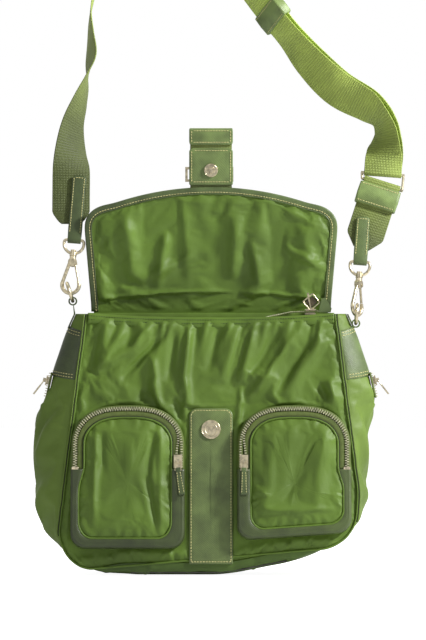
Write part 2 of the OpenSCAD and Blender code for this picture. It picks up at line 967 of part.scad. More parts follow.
// Wire loop: the long webbing turns round its upper bar, the short one hangs on the slanted lower bar
module strap_loop() {
    half = web_w / 2 + 2.2;
    high = [loop_bar.x, 0, loop_bar.y];
    low = [end_top.x, 0, end_top.y];
    lean = [cos(end_turn), 0, -sin(end_turn)];
    over = 0.9;
    color(metal) at_strap() {
        rod(high - [half + over, 0, 0], high + [half + over, 0, 0], bar_wire);
        rod(low - (half + over) * lean, low + (half + over) * lean, bar_wire);
        for (x = [-half, half]) rod(high + [x, 0, 0], low + x * lean, bar_wire - 0.25);
    }
}

sleeve_half = 11;
sleeve_room = 3.6;
sleeve_t = 2;

// Leather-covered sleeve that adjusts the strap's length
module strap_slider() {
    s = slider_s;
    p = web_corner(s, 0, 0);
    x_axis = unit(web_corner(s, 1, 0) - p);
    y_axis = unit(web_corner(s, 0, 1) - p);
    z_axis = cross(x_axis, y_axis);
    color(leather) at_strap()
    multmatrix([
        [x_axis.x, y_axis.x, z_axis.x, p.x],
        [x_axis.y, y_axis.y, z_axis.y, p.y],
        [x_axis.z, y_axis.z, z_axis.z, p.z],
        [0, 0, 0, 1]
    ])
    difference() {
        translate([-web_w / 2 - 3.4, -sleeve_room - sleeve_t, -sleeve_half])
        cube([web_w + 6.8, 2 * (sleeve_room + sleeve_t), 2 * sleeve_half]);
        translate([-web_w / 2 - 1, -sleeve_room, -sleeve_half - 1])
        cube([web_w + 2, 2 * sleeve_room, 2 * sleeve_half + 2]);
    }
}

d_r = 10;
elbow = 3;
eye_c = -14.5;
eye_h = 4;
stem = 2.1;

// D-ring with a swivel eye, in the frame of its straight bar
module d_ring() {
    bow_c = -4;
    color(metal) difference() {
        union() {
            translate([-d_r + elbow, 0, 0]) rotate([0, 90, 0])
            cylinder(r = bar_wire, h = 2 * (d_r - elbow));
            for (x = [-1, 1]) {
                translate([x * (d_r - elbow), 0, -elbow]) rotate([90, 0, 0])
                rotate([0, 0, x > 0 ? 0 : 90])
                rotate_extrude(angle = 90) translate([elbow, 0]) circle(bar_wire);
                translate([x * d_r, 0, bow_c]) cylinder(r = bar_wire, h = -bow_c - elbow);
            }
            translate([0, 0, bow_c]) rotate([90, 0, 0]) rotate([0, 0, 180])
            rotate_extrude(angle = 180, $fn = 48) translate([d_r, 0]) circle(bar_wire);
            translate([0, 0, eye_c - eye_h / 2]) cylinder(r = 3.6, h = eye_h);
        }
        translate([0, 0, eye_c - 5]) cylinder(r = stem + 0.06, h = 10);
    }
}

module left_d_ring() {
    at_left_bar() d_ring();
}

module right_d_ring() {
    at_right_bar() d_ring();
}

hook_low = 7.5;
hook_lean = 15;
head_z = 31;
head_r = 4.5;
pivot_z = 29.8;
pivot = [(hook_r - (pivot_z - hook_low) * sin(hook_lean)) / cos(hook_lean), pivot_z];
slot_half = 1.4;
nose_len = 2.5;
leg_r = hook_wire - 0.15;
leg_root = 1;
leg_foot = [hook_r * cos(hook_lean), hook_low + hook_r * sin(hook_lean)];
leg_run = [-sin(hook_lean), cos(hook_lean)];
head_half = 2.5;
pin_r = 0.8;
rivet_r = 1.3;
barrel_r = 2.1;
gate_r = 1.25;
slot_from = 0.2;
slot_low = head_z - head_r - 2;
collar_r = 3.2;

// Snap hook in the frame of its side ring: the ring's centre is the origin, the stem points up
module snap_hook() {
    eye_z = bar_c + eye_c;
    leg_len = (head_z - leg_foot.y) / leg_run.y;
    color(metal) union() {
        difference() {
            union() {
                translate([0, 0, hook_low]) rotate([90, 0, 0]) rotate([0, 0, 180 - hook_lean])
                rotate_extrude(angle = 180 + 2 * hook_lean, $fn = 48)
                translate([hook_r, 0]) circle(hook_wire);
                translate([-leg_foot.x, 0, leg_foot.y]) rotate([0, hook_lean, 0])
                translate([0, 0, -leg_root]) cylinder(r = leg_r, h = leg_len + leg_root);
                translate([leg_foot.x, 0, leg_foot.y]) rotate([0, -hook_lean, 0])
                translate([0, 0, -leg_root]) cylinder(r = leg_r, h = nose_len + leg_root);
                translate([0, head_half, head_z]) rotate([90, 0, 0])
                cylinder(r = head_r, h = 2 * head_half);
            }
            translate([slot_from, -slot_half, slot_low])
            cube([9, 2 * slot_half, pivot_z + barrel_r + gap - slot_low]);
        }
        translate([pivot.x, 3, pivot.y]) rotate([90, 0, 0]) cylinder(r = pin_r, h = 6);
        for (y = [3, -2.4]) translate([pivot.x, y, pivot.y]) rotate([90, 0, 0])
        cylinder(r = rivet_r, h = 0.6);
        translate([0, 0, head_z + 3]) cylinder(r = collar_r, h = eye_z - eye_h / 2 - 3.4 - head_z);
        translate([0, 0, head_z + 4]) cylinder(r = stem, h = eye_z + eye_h / 2 - 3 - head_z);
        translate([0, 0, eye_z + eye_h / 2 + 0.7]) cylinder(r = collar_r - 0.4, h = 1.4);
    }
}

// Spring gate of a snap hook, closing the gap between its nose and its pivot
module snap_gate() {
    nose = [leg_foot.x + nose_len * leg_run.x, leg_foot.y + nose_len * leg_run.y];
    color(metal) difference() {
        union() {
            translate([pivot.x, 1.3, pivot.y]) rotate([90, 0, 0]) cylinder(r = barrel_r, h = 2.6);
            translate([nose.x, 0, nose.y]) rotate([0, -hook_lean, 0]) translate([0, 0, gap])
            cylinder(r = gate_r, h = norm(pivot - nose) - gap);
        }
        translate([pivot.x, 5, pivot.y]) rotate([90, 0, 0]) cylinder(r = pin_r + 0.06, h = 10);
    }
}

right_turn = 55;

module at_left_hook() {
    at_strap() children();
}

module at_right_hook() {
    at_strap() translate([axis_len, 0, 0]) rotate([0, 0, right_turn]) children();
}

module left_hook() {
    at_left_hook() snap_hook();
}

module right_hook() {
    at_right_hook() snap_hook();
}

module left_gate() {
    at_left_hook() snap_gate();
}

module right_gate() {
    at_right_hook() snap_gate();
}

front_panel();
back_panel();
left_gusset();
right_gusset();
left_gusset_leather();
right_gusset_leather();
bottom_panel();
base_board();
lining();
mouth_facing();
front_strap();
snap_socket();
left_pocket_face();
right_pocket_face();
left_pocket_surround();
right_pocket_surround();
left_pocket_zip();
right_pocket_zip();
left_zip_slider();
right_zip_slider();
left_zip_bail();
right_zip_bail();
left_zip_pull();
right_zip_pull();
main_zip();
main_zip_end();
main_zip_slider();
main_zip_pull();
left_ring_loop();
right_ring_loop();
left_side_zip();
right_side_zip();
left_side_slider();
right_side_slider();
left_side_pull();
right_side_pull();
flap_panel();
flap_lining();
flap_binding();
tab_webbing();
tab_patch();
tab_cap();
tab_frame();
snap_stud();
strap_webbing();
end_webbing();
left_strap_tip();
right_strap_tip();
strap_keeper();
strap_slider();
strap_loop();
left_d_ring();
right_d_ring();
left_hook();
right_hook();
left_gate();
right_gate();
left_side_ring();
right_side_ring();
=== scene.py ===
"""Messenger bag: cloth, leather, webbing and zips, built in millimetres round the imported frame."""
import json
from math import atan, cos, exp, hypot, pi, radians, sin
import bpy
import numpy as np
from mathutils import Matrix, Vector, noise


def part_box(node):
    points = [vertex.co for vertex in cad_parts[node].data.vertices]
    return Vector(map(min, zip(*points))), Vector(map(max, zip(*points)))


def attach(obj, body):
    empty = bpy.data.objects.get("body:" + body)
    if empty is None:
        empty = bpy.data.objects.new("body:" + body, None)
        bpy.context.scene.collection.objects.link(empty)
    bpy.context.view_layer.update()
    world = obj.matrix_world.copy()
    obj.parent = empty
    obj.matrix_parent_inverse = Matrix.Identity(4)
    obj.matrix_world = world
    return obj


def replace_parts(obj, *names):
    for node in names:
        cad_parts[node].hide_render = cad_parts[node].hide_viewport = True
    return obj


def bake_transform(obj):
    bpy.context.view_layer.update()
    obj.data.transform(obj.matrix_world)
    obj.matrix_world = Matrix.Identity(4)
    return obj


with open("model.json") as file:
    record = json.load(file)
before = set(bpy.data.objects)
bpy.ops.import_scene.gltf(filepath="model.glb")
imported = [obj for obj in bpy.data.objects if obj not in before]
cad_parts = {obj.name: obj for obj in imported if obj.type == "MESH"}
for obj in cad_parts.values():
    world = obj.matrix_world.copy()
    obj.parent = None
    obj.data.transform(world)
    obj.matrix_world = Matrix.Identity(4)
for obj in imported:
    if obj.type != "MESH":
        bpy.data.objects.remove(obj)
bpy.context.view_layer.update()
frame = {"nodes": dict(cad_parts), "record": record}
scene = bpy.context.scene
rng = np.random.default_rng(11)
MM = 0.001

# ---- Driving dimensions, in millimetres ----
BODY_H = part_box("left_gusset")[1].z / MM
SLOPE = 0.14
MOUTH = 14.0
TILT = atan(SLOPE)
FOOT = MOUTH + BODY_H * SLOPE
SEAM_TOP = 124.0
SEAM_FLARE = 0.125
LOW = 13.0
CORNER = 35.0
CORNER_X = SEAM_TOP + (BODY_H - LOW - CORNER) * SEAM_FLARE - CORNER
SIDE_MAX = 168.5
SIDE_CURVE = 0.00175
SIDE_MID = 125.0
SIDE_ZIP_Z = 190.0
COVER_LOW = 195.0
COVER_HIGH = 244.0
FLOOR_FLAT = 70.0
FLOOR_ARC = 107.7
FLAP_Z = 273.0
FLAP_LEAN = radians(6)
FLAP_LEN = 115.0
FLAP_ARC = 300.0
FLAP_HALF = 126.0
FLAP_FOOT = -26.0
TAB_MID = 16.2
STUD_H = 132.0
POCKET_X = 83.0
POCKET_HALF = 56.0
POCKET_LOW = 28.0
SPRING = 131.0
RISE = 39.0
ZIP_FROM = 106.0
ARCH_POWER = 0.7
FACE_MID = 92.0
SOCKET_S = 146.5
STRAP_HALF = 22.0
STRAP_TOP = 168.0
RING_L = np.array([-142.0, 0.0, 283.0])
RING_R = np.array([146.5, 0.0, 261.0])
RING_SLOPE = atan((RING_L[2] - RING_R[2]) / (RING_R[0] - RING_L[0]))
AXIS_LEN = float(np.linalg.norm(RING_R - RING_L))
STRAP_LEAN = radians(12)
BAR = 54.0
WEB_HALF = 19.0
PLY = 0.65
BAR_HALF = 1.5


def smooth(a, b, x):
    t = np.clip((np.asarray(x, float) - a) / (b - a), 0, 1)
    return t * t * (3 - 2 * t)


def stack(x, y, z):
    return np.stack(np.broadcast_arrays(x, y, z), axis=-1).astype(float)


# ---- Places: from a part's own coordinates to the shared frame ----
def depth_at(z):
    """Half the body's depth at a height."""
    return MOUTH + (BODY_H - z) * SLOPE


def seam_at(z):
    """Half the width between the side seams, which turn in round the bottom corners."""
    low = np.clip(LOW + CORNER - z, 0, CORNER)
    return np.where(z > LOW + CORNER, SEAM_TOP + (BODY_H - z) * SEAM_FLARE,
                    CORNER_X + np.sqrt(CORNER ** 2 - low ** 2))


def side_at(z):
    """Half the width of the whole body: the sides swell past the seams."""
    arch = SIDE_MAX - SIDE_CURVE * (z - SIDE_MID) ** 2 - 0.012 * np.maximum(0, 60 - z) ** 2
    return np.maximum(seam_at(z), arch)


def on_front(x, s, out):
    """The front panel: s runs up its slope from the floor, out is in front of it."""
    s, out = np.asarray(s, float), np.asarray(out, float)
    return stack(x, -FOOT + s * sin(TILT) - out * cos(TILT),
                 s * cos(TILT) + out * sin(TILT))


def on_flap(x, h, y):
    """The open flap, which leans back: h runs up from its fold, y is behind it."""
    h, y = np.asarray(h, float), np.asarray(y, float)
    c, s = cos(FLAP_LEAN), sin(FLAP_LEAN)
    return stack(x, y * c - h * s, y * s + h * c + FLAP_Z)


def on_strap(x, y, z):
    """The strap's own frame: x from the left ring to the right one, z up its lean."""
    x, y, z = np.asarray(x, float), np.asarray(y, float), np.asarray(z, float)
    c, s = cos(STRAP_LEAN), sin(STRAP_LEAN)
    v, w = y * c + z * s, z * c - y * s
    c, s = cos(RING_SLOPE), sin(RING_SLOPE)
    return stack(x * c + w * s, v, w * c - x * s) + RING_L


def in_strap(x, z):
    """A place seen from the front, turned into the strap's x and z."""
    dx, dz = x - RING_L[0], z - RING_L[2]
    c, s = cos(RING_SLOPE), sin(RING_SLOPE)
    return np.array([dx * c - dz * s, (dx * s + dz * c) / cos(STRAP_LEAN)])


def slump(p):
    """The filled body stands unevenly: its right lower corner is drawn up and in."""
    p = p.copy()
    right = smooth(10, 140, p[..., 0])
    corner = 12 * smooth(0, 95, p[..., 0]) + 2.5 * smooth(66, 138, p[..., 0])
    left = smooth(80, 125, -p[..., 0])
    z = p[..., 2].copy()
    p[..., 2] += (corner - 6 * left) * (1 - smooth(12, 95, z))
    p[..., 0] -= 8 * right * (1 - smooth(30, 90, z))
    return p


def unit(rows):
    """Each row scaled to length one."""
    return rows / np.linalg.norm(rows, axis=1, keepdims=True)


def run_length(line):
    """The distance along a line up to each of its points."""
    return np.concatenate([[0], np.cumsum(np.linalg.norm(np.diff(line, axis=0), axis=1))])


def laid(place, line, out):
    """A flat outline put in its place, all of it at one height."""
    return place(line[:, 0], line[:, 1], np.full(len(line), float(out)))


def round_corners(half_w, half_h, turn, count):
    """Points round a rectangle whose corners turn about the given half sizes."""
    points = []
    for x, y, start in ((1, 1, 0), (-1, 1, 90), (-1, -1, 180), (1, -1, 270)):
        for k in range(count):
            a = radians(start + 90 * k / (count - 1))
            points.append((x * half_w + turn * cos(a), y * half_h + turn * sin(a)))
    return points


def grain(p, size, seed):
    """Smooth noise from -1 to 1 at each point, with features of about the given size."""
    shift = Vector((seed * 7.3, seed * 3.1, seed * 5.7))
    flat = p.reshape(-1, 3)
    values = [noise.noise(Vector(q) / size + shift) for q in flat]
    return np.array(values).reshape(p.shape[:-1])


# ---- Materials ----
def linear(rgb):
    return [((c / 255 + 0.055) / 1.055) ** 2.4 if c > 10 else c / 3294.6 for c in rgb] + [1.0]


def new_material(name, roughness, metallic=0.0):
    m = bpy.data.materials.new(name)
    m.use_nodes = True
    p = m.node_tree.nodes["Principled BSDF"]
    p.inputs["Roughness"].default_value = roughness
    p.inputs["Metallic"].default_value = metallic
    return m, m.node_tree, p


def node(tree, kind, settings=(), **inputs):
    """A shader node. Inputs are values to set or sockets to link; _0 is an input by its number."""
    n = tree.nodes.new(f"ShaderNode{kind}")
    for key, value in dict(settings).items():
        setattr(n, key, value)
    for key, value in inputs.items():
        socket = n.inputs[int(key[1:]) if key[1:].isdigit() else key.replace("_", " ")]
        if isinstance(value, bpy.types.NodeSocket):
            tree.links.new(value, socket)
        else:
            socket.default_value = value
    return n


def where(tree, kind="Object"):
    return node(tree, "TexCoord").outputs[kind]


def noise_node(tree, scale, detail=3.0, vector=None):
    vector = vector or where(tree)
    return node(tree, "TexNoise", Scale=scale, Detail=detail, Vector=vector).outputs["Fac"]


def two_tone(tree, p, dark, light, fac, low=0.3, high=0.7):
    """Base colour between two tones, chosen by a factor."""
    ramp = node(tree, "ValToRGB", Fac=fac)
    for stop, place, rgb in zip(ramp.color_ramp.elements, (low, high), (dark, light)):
        stop.position = place
        stop.color = linear(rgb)
    tree.links.new(ramp.outputs["Color"], p.inputs["Base Color"])


def shades(rgb, dark, light):
    return [c * dark for c in rgb], [c * light for c in rgb]


def bump(tree, p, layers):
    """A chain of bumps, each (height output, strength, distance in millimetres)."""
    last = {}
    for height, strength, distance in layers:
        b = node(tree, "Bump", Strength=strength, Distance=distance * MM, Height=height, **last)
        last = {"Normal": b.outputs["Normal"]}
    tree.links.new(last["Normal"], p.inputs["Normal"])


def wave(tree, scale, direction, vector):
    option = {"wave_type": "BANDS", "bands_direction": direction}
    return node(tree, "TexWave", option, Scale=scale, Vector=vector).outputs["Fac"]


def nylon(name, rgb, sheen=0.14):
    """Satin nylon: a fine twill, soft crumples and a pale sheen."""
    m, tree, p = new_material(name, 0.52)
    p.inputs["Specular IOR Level"].default_value = 0.32
    two_tone(tree, p, *shades(rgb, 0.88, 1.08), noise_node(tree, 14))
    bump(tree, p, [
        (noise_node(tree, 42, 4), 0.5, 1.6),
        (noise_node(tree, 130, 2), 0.25, 0.5),
        (wave(tree, 420, "DIAGONAL", where(tree)), 0.18, 0.12),
    ])
    p.inputs["Sheen Weight"].default_value = sheen
    p.inputs["Sheen Roughness"].default_value = 0.4
    p.inputs["Sheen Tint"].default_value = linear((200, 222, 120))
    return m


def leather(name, rgb):
    """Pressed leather: a fine slanting grain over small pores."""
    m, tree, p = new_material(name, 0.42)
    two_tone(tree, p, *shades(rgb, 0.84, 1.1), noise_node(tree, 60, 5))
    place = where(tree)
    pores = node(tree, "TexVoronoi", Scale=900, Vector=place)
    bump(tree, p, [
        (pores.outputs["Distance"], 0.35, 0.25),
        (wave(tree, 260, "DIAGONAL", place), 0.35, 0.2),
        (noise_node(tree, 90, 3), 0.3, 0.5),
    ])
    # Painted light: the leather is toned brighter to the right and higher up.
    painted_window_light(tree, p, (3.4, 0, 1.1), 1.0, 0.8, 2.0)
    return m


def painted_window_light(tree, p, rise, base, low, high):
    """Painted light: tones a colour by its place on the bag, brighter towards the window light on the
    right.
    """
    colour = p.inputs["Base Color"].links[0].from_socket
    dot = node(tree, "VectorMath", {"operation": "DOT_PRODUCT"}, _0=where(tree), _1=rise)
    ramp = node(tree, "MapRange", Value=dot.outputs["Value"], From_Min=low - base,
                From_Max=high - base, To_Min=low, To_Max=high)
    power = ramp.outputs["Result"]
    scale = node(tree, "VectorMath", {"operation": "SCALE"}, _0=colour, Scale=power)
    tree.links.new(scale.outputs[0], p.inputs["Base Color"])


def webbing(name, rgb):
    """Woven ribs: UVs are in millimetres, U across the strap and V along it."""
    m, tree, p = new_material(name, 0.6)
    uv = where(tree, "UV")
    ribs = wave(tree, 0.12, "Y", uv)
    rows = wave(tree, 0.2, "X", uv)
    mix = node(tree, "Math", {"operation": "MULTIPLY"}, _0=ribs, _1=rows).outputs[0]
    blend = node(tree, "Math", {"operation": "ADD"}, _0=mix, _1=noise_node(tree, 0.04, 2, uv))
    two_tone(tree, p, *shades(rgb, 0.82, 1.08), blend.outputs[0], 0.3, 1.2)
    # Painted light: the webbing is toned from dark low on the left to bright high on the right.
    painted_window_light(tree, p, (6.0, 0, 14.0), -5.08, 0.5, 3.6)
    bump(tree, p, [(mix, 0.8, 0.5)])
    p.inputs["Sheen Weight"].default_value = 0.12
    return m


def metal(name, rgb, roughness):
    m, tree, p = new_material(name, roughness, 1.0)
    two_tone(tree, p, *shades(rgb, 0.8, 1.0), noise_node(tree, 300, 3), 0.35, 0.6)
    bump(tree, p, [(noise_node(tree, 700, 2), 0.12, 0.1)])
    return m


def plain(name, rgb, roughness):
    m, tree, p = new_material(name, roughness)
    two_tone(tree, p, *shades(rgb, 0.85, 1.0), noise_node(tree, 200, 4))
    bump(tree, p, [(noise_node(tree, 400, 2), 0.3, 0.2)])
    return m


FABRIC = nylon("fabric_nylon", (92, 118, 43))
# Lighter copy of the same nylon: painted light on the sides and on the folds beside the seams.
FABRIC_SIDE = nylon("fabric_side_painted_light", (104, 128, 54))
# Darker, duller copy of the same nylon: painted shade for the underside, the lining bag and the
# inside of the mouth.
FABRIC_DARK = nylon("fabric_painted_shade", (72, 94, 38), 0.08)
LINING = nylon("lining_nylon", (96, 123, 46))
LEATHER = leather("leather_green", (95, 111, 63))
# Darker copies of the same leather: painted shade on the trims, pulls and tips, and deeper painted
# shade on the pocket rims.
LEATHER_DARK = leather("leather_shade", (75, 89, 51))
LEATHER_RIM = leather("leather_rim_painted_shade", (64, 76, 40))
LEATHER_BROWN = leather("leather_brown", (58, 50, 30))
WEBBING = webbing("webbing_green", (115, 129, 58))
TAPE = plain("zip_tape_olive", (96, 112, 48), 0.7)
# Near-black: painted shade for the gaps beside the seams, between the zip teeth and round the piping.
PAINTED_SHADE = plain("zip_shadow", (34, 40, 24), 0.9)
BOARD = plain("board_grey", (80, 80, 74), 0.8)
METAL = metal("metal_pale_gold", (226, 214, 182), 0.3)
TEETH = metal("metal_teeth", (236, 230, 200), 0.42)
TEETH.node_tree.nodes["Principled BSDF"].inputs["Metallic"].default_value = 0.55
CREAM = plain("thread_cream", (226, 218, 150), 0.7)
GREEN_THREAD = plain("thread_green", (52, 74, 30), 0.75)
SLOTS = {
    "fabric": (FABRIC, FABRIC_SIDE, PAINTED_SHADE), "fabric_dark": (FABRIC_DARK,), "lining": (LINING,),
    "leather": (LEATHER, LEATHER_DARK, LEATHER_RIM, LEATHER_BROWN), "webbing": (WEBBING,),
    "zip_tape": (TAPE,), "board": (BOARD,), "metal": (METAL, TEETH),
}
SLOT_OF = {m.name: slot for slot, materials in SLOTS.items() for m in materials}


# ---- Mesh builders ----
def build(name, points, faces, material, body, uvs=None, flat=False):
    """A mesh piece from points in millimetres, riding on a body or left free."""
    mesh = bpy.data.meshes.new(name)
    mesh.from_pydata((np.asarray(points, float).reshape(-1, 3) * MM).tolist(), [], faces)
    mesh.materials.append(material)
    if uvs is not None:
        layer = mesh.uv_layers.new(name="UVMap")
        loops = np.zeros(len(mesh.loops), np.int32)
        mesh.loops.foreach_get("vertex_index", loops)
        layer.data.foreach_set("uv", np.asarray(uvs, np.float32).reshape(-1, 2)[loops].ravel())
    mesh.validate()
    if not flat:
        mesh.polygons.foreach_set("use_smooth", [True] * len(mesh.polygons))
    obj = bpy.data.objects.new(name, mesh)
    scene.collection.objects.link(obj)
    if body:
        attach(obj, body)
    return obj


def quads(rows, cols, wrap_rows=False, wrap_cols=False):
    faces = []
    for i in range(rows if wrap_rows else rows - 1):
        for j in range(cols if wrap_cols else cols - 1):
            a, b = i * cols, (i + 1) % rows * cols
            k = (j + 1) % cols
            faces.append((a + j, a + k, b + k, b + j))
    return faces


def sheet(name, grid, material, body, thick=0.0, flip=False, wrap=False):
    """A grid of points as cloth; thick adds a wall behind it."""
    rows, cols = grid.shape[:2]
    faces = quads(rows, cols, wrap_cols=wrap)
    if flip:
        faces = [f[::-1] for f in faces]
    obj = build(name, grid, faces, material, body)
    if thick:
        solid = obj.modifiers.new("wall", "SOLIDIFY")
        solid.thickness = thick * MM
        solid.offset = -1
    return obj


def loft(name, sections, material, body, ring=False, uv=False):
    """Closed outlines joined in a row; ring also joins the last to the first."""
    grid = np.asarray(sections, float)
    rows, cols = grid.shape[:2]
    faces = quads(rows, cols, wrap_rows=ring, wrap_cols=True)
    if not ring:
        faces.append(tuple(range(cols))[::-1])
        faces.append(tuple((rows - 1) * cols + j for j in range(cols)))
    uvs = None
    if uv:
        across = np.linalg.norm(np.diff(grid, axis=1, append=grid[:, :1]), axis=2)
        u = np.cumsum(across, axis=1) - across
        along = run_length(grid.mean(axis=1))
        uvs = np.stack([u, np.broadcast_to(along[:, None], u.shape)], axis=-1)
    return build(name, grid, faces, material, body, uvs)


def directions(path, closed=False):
    if closed:
        return unit(np.roll(path, -1, axis=0) - np.roll(path, 1, axis=0))
    return unit(np.gradient(path, axis=0))


def normals_for(path, normal):
    return np.broadcast_to(np.asarray(normal, float), path.shape)


def sweep(name, path, normal, profile, material, body, closed=False):
    """A closed profile of (side, out) pairs carried along a path."""
    path = np.asarray(path, float)
    run = directions(path, closed)
    out = normals_for(path, normal)
    side = unit(np.cross(run, out))
    out = np.cross(side, run)
    profile = np.asarray(profile, float)[None]
    grid = path[:, None] + side[:, None] * profile[..., :1] + out[:, None] * profile[..., 1:]
    return loft(name, grid, material, body, ring=closed)


def disc(radius, count=10):
    angle = np.arange(count) * 2 * pi / count
    return np.stack([np.cos(angle), np.sin(angle)], axis=1) * radius


def slab_profile(half_w, half_t, turn=0.5, count=3):
    """A flat bar's section with rounded corners."""
    return round_corners(half_w - turn, half_t - turn, turn, count)


def resample(path, pitch, closed=False):
    if closed:
        path = np.vstack([path, path[:1]])
    length = run_length(path)
    count = max(2, int(round(length[-1] / pitch)))
    at = (np.arange(count) + 0.5) * length[-1] / count
    return at, length, np.stack([np.interp(at, length, path[:, k]) for k in range(3)], axis=1)


def scatter(name, path, normal, pitch, shape, faces, material, body, closed=False, flat=False):
    """Copies of a small shape, X along the path and Z out, as one piece."""
    path = np.asarray(path, float)
    out = normals_for(path, normal)
    at, length, here = resample(path, pitch, closed)
    if closed:
        out = np.vstack([out, out[:1]])
    up = np.stack([np.interp(at, length, out[:, k]) for k in range(3)], axis=1)
    run = directions(here, closed)
    side = unit(np.cross(up, run))
    up = np.cross(run, side)
    shape = np.asarray(shape, float)
    points = (here[:, None] + run[:, None] * shape[None, :, :1]
              + side[:, None] * shape[None, :, 1:2] + up[:, None] * shape[None, :, 2:])
    count = len(shape)
    every = [tuple(k * count + i for i in f) for k in range(len(here)) for f in faces]
    return build(name, points, every, material, body, flat=flat)


def pill(half_len, half_w, half_t):
    """A small rounded thread segment."""
    points, sides = [(-half_len, 0, 0)], 6
    for x, r in ((-0.75, 0.72), (0, 1), (0.75, 0.72)):
        for k in range(sides):
            a = 2 * pi * k / sides
            points.append((x * half_len, r * half_w * cos(a), r * half_t * sin(a)))
    points.append((half_len, 0, 0))
    after = [(k + 1) % sides for k in range(sides)]
    faces = [(0, 1 + after[k], 1 + k) for k in range(sides)]
    faces += [tuple(1 + i for i in face) for face in quads(3, sides, wrap_cols=True)]
    last, row = len(points) - 1, 1 + 2 * sides
    faces += [(last, row + k, row + after[k]) for k in range(sides)]
    return points, faces


def tooth(along, across, height):
    """One zip tooth: a block that narrows towards its top."""
    points = []
    for z, k in ((-height, 1.0), (0.3 * height, 1.0), (height, 0.72)):
        for x, y in ((-1, -1), (1, -1), (1, 1), (-1, 1)):
            points.append((x * along * k, y * across * k, z))
    return points, [(3, 2, 1, 0), (8, 9, 10, 11)] + quads(3, 4, wrap_cols=True)


STITCH = pill(1.15, 0.42, 0.34)
TINY = pill(0.85, 0.4, 0.3)
TOOTH = tooth(0.45, 1.15, 0.95)


def stitches(name, path, normal, body, material=CREAM, pitch=3.1, shape=STITCH, closed=False):
    return scatter(name, path, normal, pitch, shape[0], shape[1], material, body, closed)


def teeth(name, path, normal, body, pitch=2.5, shift=0.0):
    path = np.asarray(path, float)
    if shift:
        path = path + directions(path) * shift
    return scatter(name, path, normal, pitch, TOOTH[0], TOOTH[1], TEETH, body, flat=True)


def bevel(obj, width):
    b = obj.modifiers.new("edges", "BEVEL")
    b.width = width * MM
    b.segments = 2
    b.limit_method = "ANGLE"
    b.angle_limit = radians(40)


# ---- Cloth: every soft sheet is relaxed together, held at its seams ----
soft = []
CLOTH_FRAMES = 10


def relax_later(obj, pinned, growth, cap):
    """Marks a sheet for the cloth run: pinned is 1 at held points, growth loosens the cloth."""
    soft.append((obj, np.asarray(pinned, float).ravel(), growth, cap))


def run_cloth():
    for obj, pinned, growth, _ in soft:
        group = obj.vertex_groups.new(name="held")
        group.add(np.nonzero(pinned > 0.99)[0].tolist(), 1.0, "REPLACE")
        for wall in obj.modifiers:
            wall.show_viewport = False
        cloth = obj.modifiers.new("cloth", "CLOTH")
        s = cloth.settings
        s.quality = 5
        s.mass = 0.12
        s.tension_stiffness = 18
        s.compression_stiffness = 12
        s.shear_stiffness = 4
        s.bending_stiffness = 0.35
        s.vertex_group_mass = "held"
        s.effector_weights.gravity = 0
        s.shrink_min = -growth
        cloth.collision_settings.use_collision = False
    for step in range(1, CLOTH_FRAMES + 1):
        scene.frame_set(step)
    graph = bpy.context.evaluated_depsgraph_get()
    moved = [points_of(obj.evaluated_get(graph)) for obj, _, _, _ in soft]
    for (obj, _, _, cap), points in zip(soft, moved):
        rest = points_of(obj)
        step = np.nan_to_num(points - rest)
        size = np.linalg.norm(step, axis=1, keepdims=True)
        step *= np.minimum(1, cap / np.maximum(size, 1e-6))
        obj.modifiers.remove(obj.modifiers["cloth"])
        for wall in obj.modifiers:
            wall.show_viewport = True
        obj.vertex_groups.clear()
        set_points(obj, rest + step)
    scene.frame_set(1)


def points_of(obj):
    flat = np.zeros(len(obj.data.vertices) * 3)
    obj.data.vertices.foreach_get("co", flat)
    return flat.reshape(-1, 3) / MM


def set_points(obj, points):
    obj.data.vertices.foreach_set("co", (points * MM).ravel())
    obj.data.update()


def crease(x, z, marks):
    """Height of a set of folds, each (x0, z0, x1, z1, height, half width)."""
    total = np.zeros_like(x)
    for x0, z0, x1, z1, height, width in marks:
        dx, dz = x1 - x0, z1 - z0
        length = dx * dx + dz * dz
        t = ((x - x0) * dx + (z - z0) * dz) / length
        near = np.clip(t, 0, 1)
        d = np.hypot(x - x0 - near * dx, z - z0 - near * dz)
        fade = smooth(-0.12, 0.2, t) * (1 - smooth(0.7, 1.15, t))
        total += height * np.exp(-(d / width) ** 2) * (0.25 + 0.75 * fade)
    return total


# ---- Shell ----
def hem_at(x):
    """Height of the front hem, which sags between the corners."""
    return BODY_H - 4.5 * (1 - (np.clip(np.abs(x) / SEAM_TOP, 0, 1)) ** 2.5)


def clear_of_fittings(x, s):
    """0 under the strap and the pockets, 1 a little away from them."""
    side = np.abs(np.abs(x) - POCKET_X)
    over = (np.hypot(side / POCKET_HALF, (s - SPRING) / RISE) - 1) * 42
    pocket = np.where(s > SPRING, over, np.maximum(side - POCKET_HALF, POCKET_LOW - s))
    strap = np.maximum(np.abs(x) - STRAP_HALF, s - STRAP_TOP)
    return smooth(0, 9, pocket) * smooth(0, 6, strap)


